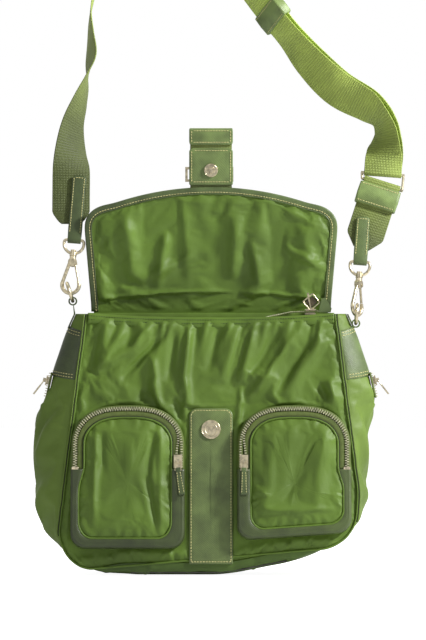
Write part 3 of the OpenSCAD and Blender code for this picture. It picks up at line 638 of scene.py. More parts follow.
FRONT_FOLDS = [
    (-63, 247, -79, 226, 2.6, 4.5), (-79, 226, -111, 210, 2.2, 5), (-89, 243, -113, 205, 2.2, 4.5),
    (-49, 238, -87, 199, -2.6, 4), (-22, 246, -27, 186, 2.8, 4.5), (-58, 215, -52, 182, 2.2, 4),
    (-36, 240, -42, 196, -2.4, 4), (-60, 194, -47, 164, 2.6, 4), (-66, 186, -66, 174, -1.8, 4),
    (-24, 194, -24, 160, 2.2, 4), (-36, 176, -29, 150, -2.4, 4), (-112, 246, -122, 206, -1.6, 4),
    (85, 241, 47, 188, 2.8, 5), (116, 240, 76, 184, 2.4, 6), (66, 243, 43, 203, -2.4, 4.5),
    (98, 236, 66, 184, -2.2, 5), (24, 244, 12, 196, 2.0, 5), (44, 240, 30, 190, 2.2, 5),
    (8, 246, -2, 205, -2.0, 4.5), (119, 196, 124, 172, 2.6, 5), (108, 190, 117, 176, -2.4, 4),
    (60, 200, 34, 172, 2.0, 4.5), (30, 186, 26, 140, 2.0, 3), (-30, 140, -26, 60, 1.8, 2.6),
    (30, 120, 27, 50, 1.6, 2.4), (-130, 190, -140, 120, 1.6, 4),
]


def front_relief(x, z):
    """Gathers below the hem, long folds, and small pleats along the bottom seam."""
    drop = hem_at(x) - z
    total = 1.55 * crease(x, z, FRONT_FOLDS)
    gathers = np.random.default_rng(4)
    for x0 in np.arange(-116, 120, 11.5):
        x0 += gathers.uniform(-2.5, 2.5)
        lean = gathers.uniform(0.1, 0.4)
        height = gathers.uniform(1.2, 3.0) * gathers.choice([1, 1, -1])
        reach = gathers.uniform(16, 42)
        width = gathers.uniform(2.6, 4.2)
        d = x - (x0 - lean * drop)
        fade = smooth(2, 9, drop) * np.exp(-(drop / reach) ** 2)
        total += height * np.exp(-(d / width) ** 2) * fade
    pleats = np.random.default_rng(5)
    for x0 in np.arange(-140, 146, 9.0):
        x0 += pleats.uniform(-3, 3)
        lean = pleats.uniform(-0.9, 0.9)
        height = pleats.uniform(1.0, 2.4) * pleats.choice([1, -1])
        d = x - (x0 + lean * (z - LOW))
        total += height * np.exp(-(d / 2.2) ** 2) * (1 - smooth(4, 20, z - LOW))
    return total


def back_relief(x, z):
    drop = BODY_H - z
    waves = 1.1 * np.sin(x / 9.5 + 0.02 * drop) * np.exp(-(drop / 45) ** 2)
    marks = [(-90, 230, -120, 90, 2, 8), (80, 220, 118, 80, 2, 8), (-20, 120, 60, 60, -1.6, 9),
             (0, 210, -60, 120, 1.8, 10), (-118, 90, -60, 26, 1.8, 7), (112, 96, 60, 30, 1.8, 7)]
    return 1.5 * waves + 2.0 * crease(x, z, marks)


def panel(name, back, rows, cols):
    """The front or back of the body, gathered below its hem."""
    across = np.linspace(-1, 1, cols)
    across = np.sign(across) * (1 - (1 - np.abs(across)) ** 1.15)
    up = np.linspace(0, 1, rows) ** 0.96
    x = across[None, :] * seam_at(LOW + (BODY_H - LOW) * up[:, None])
    top = BODY_H - 1.5 if back else hem_at(x) - 1.5
    z = LOW + (top - LOW) * up[:, None]
    x = across[None, :] * seam_at(z)
    s = z / cos(TILT)
    edge = np.minimum(seam_at(z) - np.abs(x), z - LOW)
    top_edge = np.minimum(1, (BODY_H - z) / 12)
    swell = -1.4 + 3.2 * smooth(0, 9, edge)
    if back:
        out = swell * top_edge + back_relief(x, z) * smooth(0, 14, edge) * top_edge
    else:
        free = clear_of_fittings(x, s)
        relief = front_relief(x, z) * smooth(0, 7, edge) * free
        out = np.minimum(swell, 0.2 + 3 * free) * np.minimum(1, (hem_at(x) - z) / 10) + relief
        out += 1.3 * grain(stack(x, 0, z), 34, 1) * free * smooth(0, 14, edge)
    p = slump(on_front(x, s, out))
    if back:
        p[..., 1] *= -1
    obj = sheet(f"{name}_cloth", p, FABRIC, "bag", 1.1, flip=back)
    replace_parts(obj, name)
    pinned = np.zeros((rows, cols))
    pinned[:2], pinned[-2:], pinned[:, :2], pinned[:, -2:] = 1, 1, 1, 1
    if not back:
        pinned = np.maximum(pinned, clear_of_fittings(x, s) < 0.05)
    relax_later(obj, pinned, 0.022, 6)


def gusset_point(side, u, z, out=0.0):
    """A point on a side: u runs front to back. The left side is fuller than the right one."""
    u, z = np.asarray(u, float), np.asarray(z, float)
    seam = seam_at(z) - 0.5
    puff = np.sin(pi * np.clip(u, 0, 1)) ** 0.62
    if side < 0:
        extra = 9 * smooth(25, 50, z) * (1 - smooth(140, 186, z))
    else:
        extra = -10.5 * smooth(40, 70, z) * (1 - smooth(135, 192, z))
    x = side * (seam + (side_at(z) - seam + extra) * puff + out)
    y = (depth_at(z) - 1.2) * (2 * u - 1)
    return slump(stack(x, y, z))


def gusset(side, name):
    rows, cols = 90, 44
    u = np.linspace(0, 1, cols)[None, :]
    z = np.linspace(22, BODY_H - 0.8, rows)[:, None]
    z, u = np.broadcast_arrays(z, u)
    marks = [(20, 190, 50, 168, 2.6, 9), (15, 172, 42, 140, -2.4, 8), (12, 150, 35, 112, 2.2, 7),
             (75, 190, 60, 150, 2, 8), (85, 120, 60, 80, -2, 8), (20, 90, 45, 60, 1.8, 8)]
    relief = 1.7 * crease(u * 100, z, marks)
    free = smooth(0, 0.12, u) * smooth(0, 0.12, 1 - u)
    free = free * smooth(22, 40, z) * smooth(0, 12, BODY_H - z)
    covered = smooth(193, 199, z) * (1 - smooth(250, 256, z))
    zip_patch = smooth(0.36, 0.42, u) * smooth(0.36, 0.42, 1 - u) * smooth(170, 176, z)
    relief = (relief + 2.8 * grain(stack(u * 70, side, z), 26, 2)) * free * (1 - covered)
    relief *= 1 - zip_patch
    # The sides are drawn in the lighter nylon, which is painted light.
    obj = sheet(name, gusset_point(side, u, z, relief), FABRIC_SIDE, "bag", 1.1, flip=side < 0)
    pinned = np.maximum(covered > 0.5, zip_patch > 0.5).astype(float)
    pinned[:2], pinned[-3:], pinned[:, :2], pinned[:, -2:] = 1, 1, 1, 1
    relax_later(obj, pinned, 0.015, 5)
    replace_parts(obj, name)


def gusset_cover(side, name):
    """Leather over the top of a side, with a double row of stitches at both ends."""
    u = np.linspace(0, 1, 46)[None, :]
    v = np.linspace(0, 1, 30)[:, None]
    low = COVER_LOW + 4 * np.sin(pi * u)
    high = COVER_HIGH + 5 * np.sin(pi * u)
    z = low + (high - low) * v
    edge = 0.9 - 0.5 * np.exp(-(np.minimum(v, 1 - v) / 0.03) ** 2)
    flex = 0.8 * np.sin(v * 7 + u * 3) * smooth(0, 0.2, v) * smooth(0, 0.2, 1 - v)
    cover = gusset_point(side, u, z, edge + 0.35 * flex + 0.4)
    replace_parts(sheet(name, cover, LEATHER_DARK, "bag", 1.3, flip=side < 0), name)
    u = np.linspace(0.02, 0.98, 60)
    out = np.array([side, 0, 0.2])
    for row, gap in enumerate((2.2, 5.0)):
        for end, edge_z, bow, way in (("low", COVER_LOW, 4, 1), ("high", COVER_HIGH, 5, -1)):
            path = gusset_point(side, u, edge_z + bow * np.sin(pi * u) + way * gap, 1.75)
            stitches(f"{name}_thread_{end}_{row}", path, out, "bag")


def floor_at(x):
    """Height of the underside along the bag: flat in the middle, rising to the sides."""
    over = np.clip(np.abs(x) - FLOOR_FLAT, 0, 74)
    return FLOOR_ARC - np.sqrt(FLOOR_ARC ** 2 - over ** 2)


def bottom():
    """The cloth underside, with short folds where it turns up to the front and back."""
    x = np.linspace(-143.5, 143.5, 150)[None, :]
    turn = np.linspace(-1, 1, 46)[:, None] * pi / 2
    side = np.clip(np.abs(x) - CORNER_X, 0, CORNER - 0.5)
    edge = LOW + CORNER - np.sqrt(CORNER ** 2 - side ** 2)
    low = floor_at(x)
    y = depth_at(edge) * np.sign(turn) * np.abs(np.sin(turn)) ** 0.6
    z = edge - (edge - low) * np.abs(np.cos(turn)) ** 0.45
    p = stack(x, y, z)
    leans, heights = rng.uniform(-12, 12, 20), rng.uniform(-1.6, 1.6, 20)
    marks = [(k, 20, k + lean, 52, height, 3.0)
             for k, lean, height in zip(np.arange(-120, 130, 13), leans, heights)]
    folds = crease(x + 0 * y, np.abs(y) + 0 * x, marks)
    upright = np.abs(np.sin(turn))
    front = smooth(0.62, 0.8, upright)
    p[..., 1] += np.sign(y) * folds * 0.8 * front
    p[..., 2] += (0.8 * folds + 1.2 * grain(p, 20, 3)) * front * (1 - smooth(0.93, 1, upright))
    p = slump(p)
    p[..., 2] = np.maximum(p[..., 2], 0.15)
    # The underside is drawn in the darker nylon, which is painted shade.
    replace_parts(sheet("bottom_panel_cloth", p, FABRIC_DARK, "bag"), "bottom_panel")


def board():
    """The stiff board inside the bottom follows the lift of the right side."""
    x = np.linspace(-80, 80, 60)[None, :]
    y = np.linspace(-46, 46, 12)[:, None]
    p = slump(stack(x, y, 4.2))
    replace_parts(sheet("base_board_sheet", p, BOARD, "bag", 1.4), "base_board")


def seam_path(side, shift):
    """The seam between a face of the bag and its sides, from hem to hem along the bottom."""
    half_up = np.linspace(BODY_H - 1, LOW + CORNER, 60)
    right = [(seam_at(z) + shift, z) for z in half_up]
    r = CORNER + shift
    arc = [(CORNER_X + r * cos(a), LOW + CORNER - r * sin(a))
           for a in np.linspace(0.05, pi / 2, 24)]
    right = np.array(right + arc)
    x, z = np.vstack([right, right[::-1] * [-1, 1]]).T
    wobble = 0.7 * grain(stack(x, 5 * side, z), 12, 8)
    p = slump(stack(x, side * (depth_at(z) - 0.2 + 0.5 * wobble), z))
    p[:, 0] += wobble * 0.8
    return p


def seams():
    """A welt along each seam, with a dark strip of painted shade in the gap and a fold beside it on
    the two sides.
    """
    halves = {"right": slice(0, 62), "left": slice(-62, None)}
    for side, name in ((-1, "front"), (1, "back")):
        out = (0, side, 0)
        sweep(f"{name}_seam_ridge", seam_path(side, 0.3), out, disc(1.0, 8), FABRIC, "bag")
        # The fold beside each seam is drawn in the lighter nylon, which is painted light.
        for part, shift, radius, cloth in (("gap", 1.5, 0.75, PAINTED_SHADE),
                                           ("fold", 2.7, 0.8, FABRIC_SIDE)):
            for half, points in halves.items():
                path = seam_path(side, shift)[points]
                sweep(f"{name}_seam_{part}_{half}", path, out, disc(radius, 8), cloth, "bag")


def hem(back):
    """Folded band along the mouth with two rows of thread."""
    x = np.linspace(-SEAM_TOP + 0.4, SEAM_TOP - 0.4, 150)
    top = np.full_like(x, BODY_H) if back else hem_at(x)
    profile = [(-10, 0.3), (-9.4, 1.3), (-5, 1.5), (-1, 1.5), (0, 0.8), (0.3, -0.4), (-0.2, -1.6),
               (-9, -2.0), (-10, -1.4)]
    ripple = 0.35 * np.sin(x / 7.0) + 0.25 * np.sin(x / 3.1)
    grid = [on_front(x, (top + dz) / cos(TILT), out + ripple * (dz < -4))
            for dz, out in profile]
    name, way = ("back", 1) if back else ("front", -1)
    mirror = np.array([1, -way, 1])
    loft(f"{name}_hem_band", np.swapaxes(grid, 0, 1) * mirror, FABRIC, "bag")
    for row, dz in enumerate((-2.6, -6.2)):
        path = on_front(x, (top + dz) / cos(TILT), 1.6 + 0 * x) * mirror
        stitches(f"{name}_hem_thread_{row}", path, (0, way, 0), "bag", GREEN_THREAD, 2.6, TINY)


def inside():
    """Lining bag and the facing bands inside the mouth."""
    t = np.linspace(0, 2 * pi, 121)[:-1]
    c, s = np.cos(t), np.sin(t)
    grid = []
    for z in np.linspace(30, BODY_H - 5, 30):
        wide = (98 + 19.5 * smooth(30, 85, z)) * np.sign(c) * np.abs(c) ** 0.25
        deep = (depth_at(z) - 5.2) * np.sign(s) * np.abs(s) ** 0.35
        grid.append(stack(wide, deep, z))
    grid = np.array(grid)
    grid[..., :2] *= (1 - 0.02 * np.abs(grain(grid, 25, 6)))[..., None]
    base = grid[0] * 0 + grid[0].mean(axis=0)
    grid = np.concatenate([base[None], grid])
    # The lining and the facings are drawn in the darker nylon, which is painted shade.
    lining = sheet("lining_bag", grid, FABRIC_DARK, "bag", wrap=True, flip=True)
    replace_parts(lining, "lining")
    for side in (-1, 1):
        x = np.linspace(-SEAM_TOP + 6, SEAM_TOP - 6, 80)[None, :]
        z = np.linspace(BODY_H - 26, BODY_H - 5.5, 10)[:, None]
        p = on_front(x, z / cos(TILT), -3.2 + 0.2 * np.sin(x / 6))
        p[..., 1] *= -side
        name = f"mouth_facing_{'front' if side > 0 else 'back'}"
        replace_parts(sheet(name, p, FABRIC_DARK, "bag", 0.5, flip=side > 0), "mouth_facing")


# ---- Patches with turned edges: rings of an outline drawn inwards ----
def ring_patch(name, outline, steps, place, material, body, relief=None):
    """steps are (inset, height) pairs; relief adds to the height of each ring."""
    rings = []
    for inset, height in steps:
        ring = outline(inset)
        up = np.full(len(ring), float(height))
        if relief is not None:
            up = up + relief(ring, inset)
        rings.append(place(ring[:, 0], ring[:, 1], up))
    grid = np.array(rings)
    rows, cols = grid.shape[:2]
    faces = quads(rows, cols, wrap_cols=True)
    faces.append(tuple((rows - 1) * cols + j for j in range(cols)))
    return build(name, grid, faces, material, body)


def plate_outline(half, low, high, top_r, low_r):
    """A rounded plate's outline as a function of inset, with a fixed number of points."""
    count, along = 8, 30

    def outline(inset):
        w, a, b = max(half - inset, 0.3), low + inset, high - inset
        tr, lr = max(top_r - inset, 0.2), max(low_r - inset, 0.2)
        tr, lr = min(tr, w), min(lr, w)
        points = []
        for cx, cy, r, start in ((w - tr, b - tr, tr, 0), (tr - w, b - tr, tr, 90),
                                 (lr - w, a + lr, lr, 180), (w - lr, a + lr, lr, 270)):
            for k in range(count):
                t = radians(start + 90 * k / (count - 1))
                points.append((cx + r * cos(t), cy + r * sin(t)))
        points = np.array(points)
        loop = []
        for corner in range(4):
            here = points[corner * count:(corner + 1) * count]
            after = points[(corner + 1) * count % len(points)]
            span = np.linspace(here[-1], after, along)[1:-1]
            loop += [here, span]
        return np.vstack(loop)
    return outline


def lift_right(x, z):
    """The right pocket's lower edge hangs higher than the left one's."""
    side = np.clip((x - 27) / 112, 0, 1)
    return np.where(x > 20, (8 + 8 * side) * (1 - smooth(30, 100, z)), 0)


def front_strap():
    outline = plate_outline(STRAP_HALF, 12, STRAP_TOP, 8, 1.5)
    steps = [(0, 0.3), (0, 1.6), (0.5, 2.2), (1.3, 2.5), (2.1, 2.3), (2.9, 2.5), (5, 2.55),
             (9, 2.6), (15, 2.6), (21.5, 2.6)]

    def relief(ring, inset):
        return 0.25 * np.sin(ring[:, 1] / 19) * smooth(0, 6, inset)

    patch = ring_patch("front_strap_leather", outline, steps, on_front, LEATHER, "bag", relief)
    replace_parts(patch, "front_strap")
    path = laid(on_front, outline(2.1), 2.55)
    stitches("front_strap_thread", path, (0, -1, 0.14), "bag", pitch=2.9, closed=True)


# ---- Pockets ----
def arch_path(inset, low=ZIP_FROM):
    """Up one leg of a pocket's edge, over the arch and down the other, in pocket coordinates."""
    w, rise = POCKET_HALF - inset, RISE - inset
    leg = np.linspace(low, SPRING, 14)[:-1]
    turn = np.linspace(0, pi, 70)
    right = np.stack([np.full_like(leg, w), leg], axis=1)
    span = w * np.sign(np.cos(turn)) * np.abs(np.cos(turn)) ** ARCH_POWER
    arch = np.stack([span, SPRING + rise * np.sin(turn)], axis=1)
    left = right[::-1] * [-1, 1]
    return np.vstack([right, arch, left])


def bowl_path(inset, high=ZIP_FROM):
    """Down one leg, round the bottom corners and up the other."""
    w, low = POCKET_HALF - inset, POCKET_LOW + inset
    r = 14
    leg = np.linspace(high, low + r, 26)[:-1]
    turn = np.linspace(0, pi / 2, 12)
    left = np.stack([np.full_like(leg, -w), leg], axis=1)
    corner = np.stack([-(w - r) - r * np.cos(turn), low + r - r * np.sin(turn)], axis=1)
    flat = np.stack([np.linspace(-(w - r), 0, 16)[1:], np.full(15, low)], axis=1)
    half = np.vstack([left, corner, flat])
    return np.vstack([half, half[:-1][::-1] * [-1, 1]])


def pocket_loop(inset):
    """The whole edge as a closed outline; deep insets shrink towards the middle."""
    kept = min(inset, 33)
    arch, bowl = arch_path(kept, 80), bowl_path(kept, 80)
    loop = np.vstack([arch, bowl[1:-1]])
    if inset > kept:
        k = max(1 - (inset - kept) / 23, 0.02)
        loop = loop * k + np.array([0, FACE_MID]) * (1 - k)
    return loop


LEFT_FACE_FOLDS = [
    (-32, 138, -34, 50, 1.5, 3.2), (-25, 142, -25, 100, -1.2, 3.4), (26, 140, 19, 96, -1.5, 3.6),
    (19, 96, 30, 44, -1.7, 3.6), (33, 142, 33, 48, 1.3, 3.2), (12, 140, 9, 90, 0.6, 7),
    (30, 90, 38, 88, 0.9, 2.2), (-38, 118, -30, 116, -0.8, 2.2), (-10, 60, 10, 52, 0.5, 9),
]
RIGHT_FACE_FOLDS = [
    (-20, 140, -30, 60, 1.5, 6), (18, 130, -8, 74, -1.5, 7), (30, 146, 22, 60, 1.3, 6),
    (-30, 58, 36, 56, 1.4, 4.5), (-40, 84, -28, 78, 1.2, 4), (0, 150, -14, 110, 1.0, 6),
]
FACE_INSETS = [12.6, 13.2, 14, 15, 16.2, 17.6, 19, 20.5, 22, 23.5, 25, 26, 27, 28, 29, 30.5, 32,
               34, 36.5, 39, 42, 45, 48, 51, 54]
FACE_HEIGHTS = np.interp(FACE_INSETS, [12.6, 13.2, 15, 18, 22, 27, 34, 56],
                         [9.6, 11.3, 12.8, 13.8, 14.6, 15.2, 15.7, 16.0])


def pocket(side, name):
    """A raised pocket: zip over its top, leather rim round its bottom, piping and a soft face."""
    def place(x, s, out):
        p = on_front(np.asarray(x) + side * POCKET_X, s, out)
        p[..., 2] += lift_right(p[..., 0], p[..., 2])
        return p

    def fuller(line, inset):
        """The cloth swells over the leather on the outer leg and along the bottom."""
        over = smooth(2.5, 12, inset) * (1 - smooth(26, 50, inset))
        low = 1 - smooth(ZIP_FROM - 22, ZIP_FROM + 4, line[:, 1])
        outer = smooth(18, 34, line[:, 0] * side)
        line = line.copy()
        line[:, 0] += side * 5.5 * over * low * outer
        line[:, 1] -= 4.5 * over * (1 - smooth(34, 62, line[:, 1]))
        return line

    def full_loop(inset):
        return fuller(pocket_loop(inset), inset)

    def rows(path, pairs):
        return np.array([laid(place, fuller(path(inset), inset), out) for inset, out in pairs])

    front = (0, -1, SLOPE)
    wall = [(0, 0.3), (-0.4, 5), (0, 9.5), (0.6, 10.8), (1.6, 11.3), (2.8, 11.3)]
    tape = sheet(f"{name}_zip_outer_tape", rows(arch_path, wall), TAPE, "bag", 0.6)
    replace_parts(tape, f"{name}_zip")
    inner = [(5.6, 11.0), (6.4, 11.5), (11.2, 11.5), (12.4, 10.6), (12.8, 9.4)]
    sheet(f"{name}_zip_inner_tape", rows(arch_path, inner), TAPE, "bag", 0.6)
    # Painted shade: a near-black sheet between the two rows of teeth.
    gap = sheet(f"{name}_zip_shadow", rows(arch_path, [(1.8, 9.6), (9.4, 9.6)]), PAINTED_SHADE, "bag", 0.5)
    for label, inset, shift, spread in (("outer", 2.6, 0.0, 0.2), ("inner", 4.4, 1.25, -3.2)):
        line = arch_path(inset, ZIP_FROM + 1)
        parted = smooth(SPRING + 14, SPRING - 12, line[:, 1]) * (np.sign(line[:, 0]) != side)
        line[:, 0] += np.sign(line[:, 0]) * parted * spread
        teeth(f"{name}_teeth_{label}", laid(place, line, 11.6), front, "bag", shift=shift)
    bed = laid(place, arch_path(3.3, ZIP_FROM + 2), 11.3)
    sweep(f"{name}_teeth_bed", bed, front, slab_profile(1.6, 0.3), TAPE, "bag")

    rim = [(0, 0.3), (-0.3, 4), (0, 9), (0.3, 11), (1.0, 12.0), (2.2, 12.2), (3.0, 12.0),
           (4, 12.25), (8, 12.3), (11.4, 12.1), (12.2, 11.2), (12.4, 9.8)]
    # The rim is drawn in the darkest copy of the leather: painted shade under the pocket.
    low_rim = sheet(f"{name}_leather_rim_painted_shade", rows(bowl_path, rim), LEATHER_RIM, "bag", 0.8, flip=True)
    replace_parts(low_rim, f"{name}_surround")
    stitches(f"{name}_rim_thread", rows(bowl_path, [(2.6, 12.25)])[0], front, "bag", pitch=2.9)
    for leg, label in ((-side, "in"), (side, "out")):
        path = place(leg * (POCKET_HALF - np.linspace(1.5, 11.5, 8)), ZIP_FROM - 1.6, 12.4)
        stitches(f"{name}_end_thread_{label}", path, front, "bag", pitch=2.4)
    # The thin dark tube round the piping is painted shade.
    for label, inset, out, radius, cloth in (("piping", 12.5, 12.0, 1.05, FABRIC),
                                             ("piping_painted_shade", 11.4, 11.9, 0.6, PAINTED_SHADE)):
        path = laid(place, full_loop(inset), out)
        sweep(f"{name}_{label}", path, front, disc(radius, 8), cloth, "bag", closed=True)

    phase = rng.uniform(0, 6, 4)
    marks = RIGHT_FACE_FOLDS if side > 0 else LEFT_FACE_FOLDS

    def relief(ring, inset):
        theta = np.arctan2(ring[:, 1] - FACE_MID, ring[:, 0])
        pucker = np.sin(theta * 31 + phase[0]) + 0.6 * np.sin(theta * 47 + phase[1])
        deep = smooth(12.6, 20, inset)
        broad = 0.7 * grain(stack(ring[:, 0], 9 * side, ring[:, 1]), 26, 12)
        return (0.4 * pucker * exp(-((inset - 15.5) / 4.5) ** 2)
                + deep * (2.0 * crease(ring[:, 0], ring[:, 1], marks) + 1.6 * broad))

    steps = list(zip(FACE_INSETS, FACE_HEIGHTS))
    face = ring_patch(f"{name}_cloth", full_loop, steps, place, FABRIC, "bag", relief)
    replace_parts(face, f"{name}_face")
    pinned = np.zeros((len(steps), len(pocket_loop(20))))
    pinned[:3] = 1
    relax_later(face, pinned, 0.008, 3.5)
    path = place(side * (POCKET_HALF - 3.6), ZIP_FROM + np.linspace(-0.6, 2, 4), 12.3)
    sweep(f"{name}_zip_stop", path, front, slab_profile(3.4, 0.9), METAL, "bag")


def pull(name, pivot, along, out):
    """Stitched leather pull folded round a wire bail."""
    length, half_w = 25, 3.1
    side = np.cross(along, out)
    side /= np.linalg.norm(side)
    path = [(t * length, 1.75 + 0.35 * sin(pi * t)) for t in np.linspace(0, 1, 14)]
    widths = [half_w * (0.8 + 0.25 * t) for t in np.linspace(0, 1, 14)]
    turn = [(-2.0 * sin(a), 1.9 * cos(a)) for a in np.linspace(0.3, pi - 0.3, 7)]
    outer = path[::-1] + turn + [(d, -h) for d, h in path]
    wide = widths[::-1] + [half_w * 0.8] * len(turn) + widths
    sections = []
    for (d, h), w in zip(outer, wide):
        centre = pivot + along * d + out * h
        normal = out * (1 if h > 0 else -1) if d > 0 else (out * h + along * d) / hypot(h, d)
        sections.append([centre + side * a + normal * b for a, b in slab_profile(w, 0.55, 0.3)])
    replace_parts(loft(f"{name}_leather", sections, LEATHER_DARK, name), name)
    for k, label in ((-1, "a"), (1, "b")):
        line = [pivot + along * d + out * (h + 0.65) + side * k * (w - 0.9)
                for (d, h), w in zip(path[1:-1], widths[1:-1])]
        stitches(f"{name}_thread_{label}", line, out, name, pitch=2.6, shape=TINY)


def pocket_pulls():
    """The left pull hangs a little to the right, as in the photo."""
    for side, name in ((-1, "left_zip_pull"), (1, "right_zip_pull")):
        x = side * (POCKET_X - (POCKET_HALF - 5.8))
        pivot = on_front(x, 104.5, 15.2)
        down = on_front(x, 0.0, 0.0) - on_front(x, 1.0, 0.0)
        down[0] += 0.16 if side < 0 else 0.0
        out = on_front(x, 0.0, 1.0) - on_front(x, 0.0, 0.0)
        pull(name, pivot, down / np.linalg.norm(down), out)


def main_zip():
    """Zip along the open mouth: it dips with the hem and closes towards its right end."""
    x = np.linspace(-116, 108, 130)
    z = np.interp(x, [-116, -80, 40, 80, 108], [259, 253, 254, 262.5, 263.6])
    for side, name in ((-1, "front"), (1, "back")):
        y = np.interp(x, [-116, 50, 70, 108], [8.5, 8.5, 1.6, 1.6])
        far = np.minimum(y + 6.5, np.where(x < 60, depth_at(z) - 3, 9))
        rows = [stack(x, side * (y + (far - y) * k), z - 0.5 * k) for k in (0, 0.5, 1)]
        tape = sheet(f"main_zip_tape_{name}", np.array(rows), TAPE, "bag", 0.6, flip=side > 0)
        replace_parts(tape, "main_zip")
        shift = 1.1 if side > 0 else 0.0
        teeth(f"main_zip_teeth_{name}", stack(x, side * y, z + 0.2), (0, 0, 1), "bag", 2.3, shift)


def side_zips():
    """A short zip low on each side, on the slope of the bulge."""
    lean = atan(2 * SIDE_CURVE * (SIDE_ZIP_Z - SIDE_MID))
    for side, name in ((-1, "left"), (1, "right")):
        base = np.array([side * (float(side_at(SIDE_ZIP_Z)) + 3.6), 0, SIDE_ZIP_Z])
        up = np.array([-side * sin(lean), 0, cos(lean)])
        out = np.array([side * cos(lean), 0, sin(lean)])
        s = np.linspace(-13, 13, 20)
        rows = []
        for y, h in ((-8, -1.2), (-5, -0.2), (-2.4, 0), (2.4, 0), (5, -0.2), (8, -1.2)):
            rows.append([base + up * a + np.array([0, y, 0]) + out * (h - 0.9) for a in s])
        tape = sheet(f"{name}_side_zip_tape", np.array(rows), TAPE, "bag", 0.8, flip=side > 0)
        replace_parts(tape, f"{name}_side_zip")
        for k, label in ((-1, "a"), (1, "b")):
            path = [base + up * a + np.array([0, 1.9 * k, 0]) for a in s]
            teeth(f"{name}_side_teeth_{label}", path, out, "bag")


# ---- Flap ----
def flap_top(x):
    """The arch of the free edge."""
    return FLAP_LEN - FLAP_ARC + np.sqrt(FLAP_ARC ** 2 - x ** 2)


KNEE = FLAP_LEN * 0.67
KNEE_RISE = float(flap_top(100.0)) - KNEE
soft_flap = []


def flap_edge(inset):
    """The free edge from the lower left, over the top, to the lower right: (x, h)."""
    leg_h = np.linspace(-11, KNEE, 30)[:-1]
    leg = np.stack([np.interp(leg_h, [-5, KNEE], [121, 128]) - inset, leg_h], axis=1)
    turn = np.linspace(0, pi / 2 * 0.93, 18)
    x, h = 100 + (28 - inset) * np.cos(turn), KNEE + (KNEE_RISE - inset) * np.sin(turn)
    corner = np.stack([x, h], axis=1)
    x = np.linspace(corner[-1, 0] - 3, 0, 40)
    arc = np.stack([x, flap_top(x) - inset], axis=1)
    half = np.vstack([leg, corner, arc])
    return soften(np.vstack([half * [-1, 1], half[:-1][::-1]]), 2.5, 9)


def soften(line, pitch, passes):
    """An open outline with its kinks rounded off, its ends kept."""
    length = run_length(line)
    at = np.linspace(0, length[-1], int(length[-1] / pitch))
    line = np.stack([np.interp(at, length, line[:, k]) for k in range(2)], axis=1)
    for _ in range(passes):
        line[1:-1] = 0.25 * line[:-2] + 0.5 * line[1:-1] + 0.25 * line[2:]
    return line


FLAP_FOLDS = [
    (-38, 100, -31, 26, -2.6, 6), (-87, 82, -78, 30, 2.4, 8), (-45, 66, -53, 20, 2.4, 5),
    (26, 84, 22, 30, 2.2, 7), (58, 96, 76, 30, -2.4, 6), (92, 76, 100, 28, 2.0, 8),
    (2, 60, 14, 20, -1.6, 6), (-112, 62, -102, 24, -2.4, 6), (-66, 104, -60, 60, -1.6, 7),
    (40, 60, 48, 18, 1.8, 5), (-20, 46, -70, 22, 1.6, 5), (70, 56, 112, 34, 1.8, 5),
    (-118, 40, -100, 60, 1.4, 5), (10, 104, 4, 84, -1.4, 6),
]
OUTER_FOLDS = [(-x0, h0, -x1, h1, height, width * 1.5)
               for x0, h0, x1, h1, height, width in FLAP_FOLDS[::2]]


def flap_sheet(name, y0, way, material, rows, cols):
    """One ply of the flap, from inside the back of the mouth up to its free edge."""
    across = np.linspace(-1, 1, cols)
    across = np.sign(across) * np.abs(np.sin(across * pi / 2)) ** 0.9
    wide = FLAP_HALF * np.abs(across)
    round_top = KNEE + (KNEE_RISE - 2) * np.sqrt(np.clip(1 - ((wide - 100) / 26.001) ** 2, 0, 1))
    top = np.where(wide < 100, flap_top(np.minimum(wide, 100)) - 2, round_top)[None, :]
    h = FLAP_FOOT + (top - FLAP_FOOT) * np.linspace(0, 1, rows)[:, None]
    x = across[None, :] * np.interp(h, [FLAP_FOOT, -5, KNEE], [117, 119, FLAP_HALF])
    edge = np.minimum(np.minimum(top - h, (1 - np.abs(across[None, :])) * FLAP_HALF), 40)
    free = smooth(4, 14, edge) * smooth(-10, 4, h)
    relief = 2.0 * crease(x, h, FLAP_FOLDS if way < 0 else OUTER_FOLDS)
    relief += 3.2 * grain(stack(x, 40 * way, h), 20, 20)
    relief += 1.2 * smooth(4, 16, edge)
    if way < 0:
        arch = 10 - 9 * (x / 118) ** 2
        fold = 1.6 * np.exp(-((h - arch) / 2.6) ** 2) - 2.2 * (1 - smooth(-4, 0, h - arch))
        relief += fold * smooth(0, 10, 118 - np.abs(x))
    out = np.maximum(relief * free, -0.3)
    obj = sheet(f"{name}_cloth", on_flap(x, h, y0 + way * out), material, None, 0.5, flip=way > 0)
    relax_later(obj, (edge < 5) | (h < -9), 0.022, 5)
    soft_flap.append((obj, y0, way))
    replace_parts(obj, name)


def keep_apart():
    """After the cloth run the two plies of the flap stay on their own sides."""
    c, s = cos(FLAP_LEAN), sin(FLAP_LEAN)
    for obj, y0, way in soft_flap:
        p = points_of(obj)
        dy, dz = p[:, 1], p[:, 2] - FLAP_Z
        y, h = dy * c + dz * s, dz * c - dy * s
        y = np.maximum(y, y0 - 0.3) if way > 0 else np.minimum(y, y0 + 0.3)
        set_points(obj, on_flap(p[:, 0], h, y))
        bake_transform(obj)


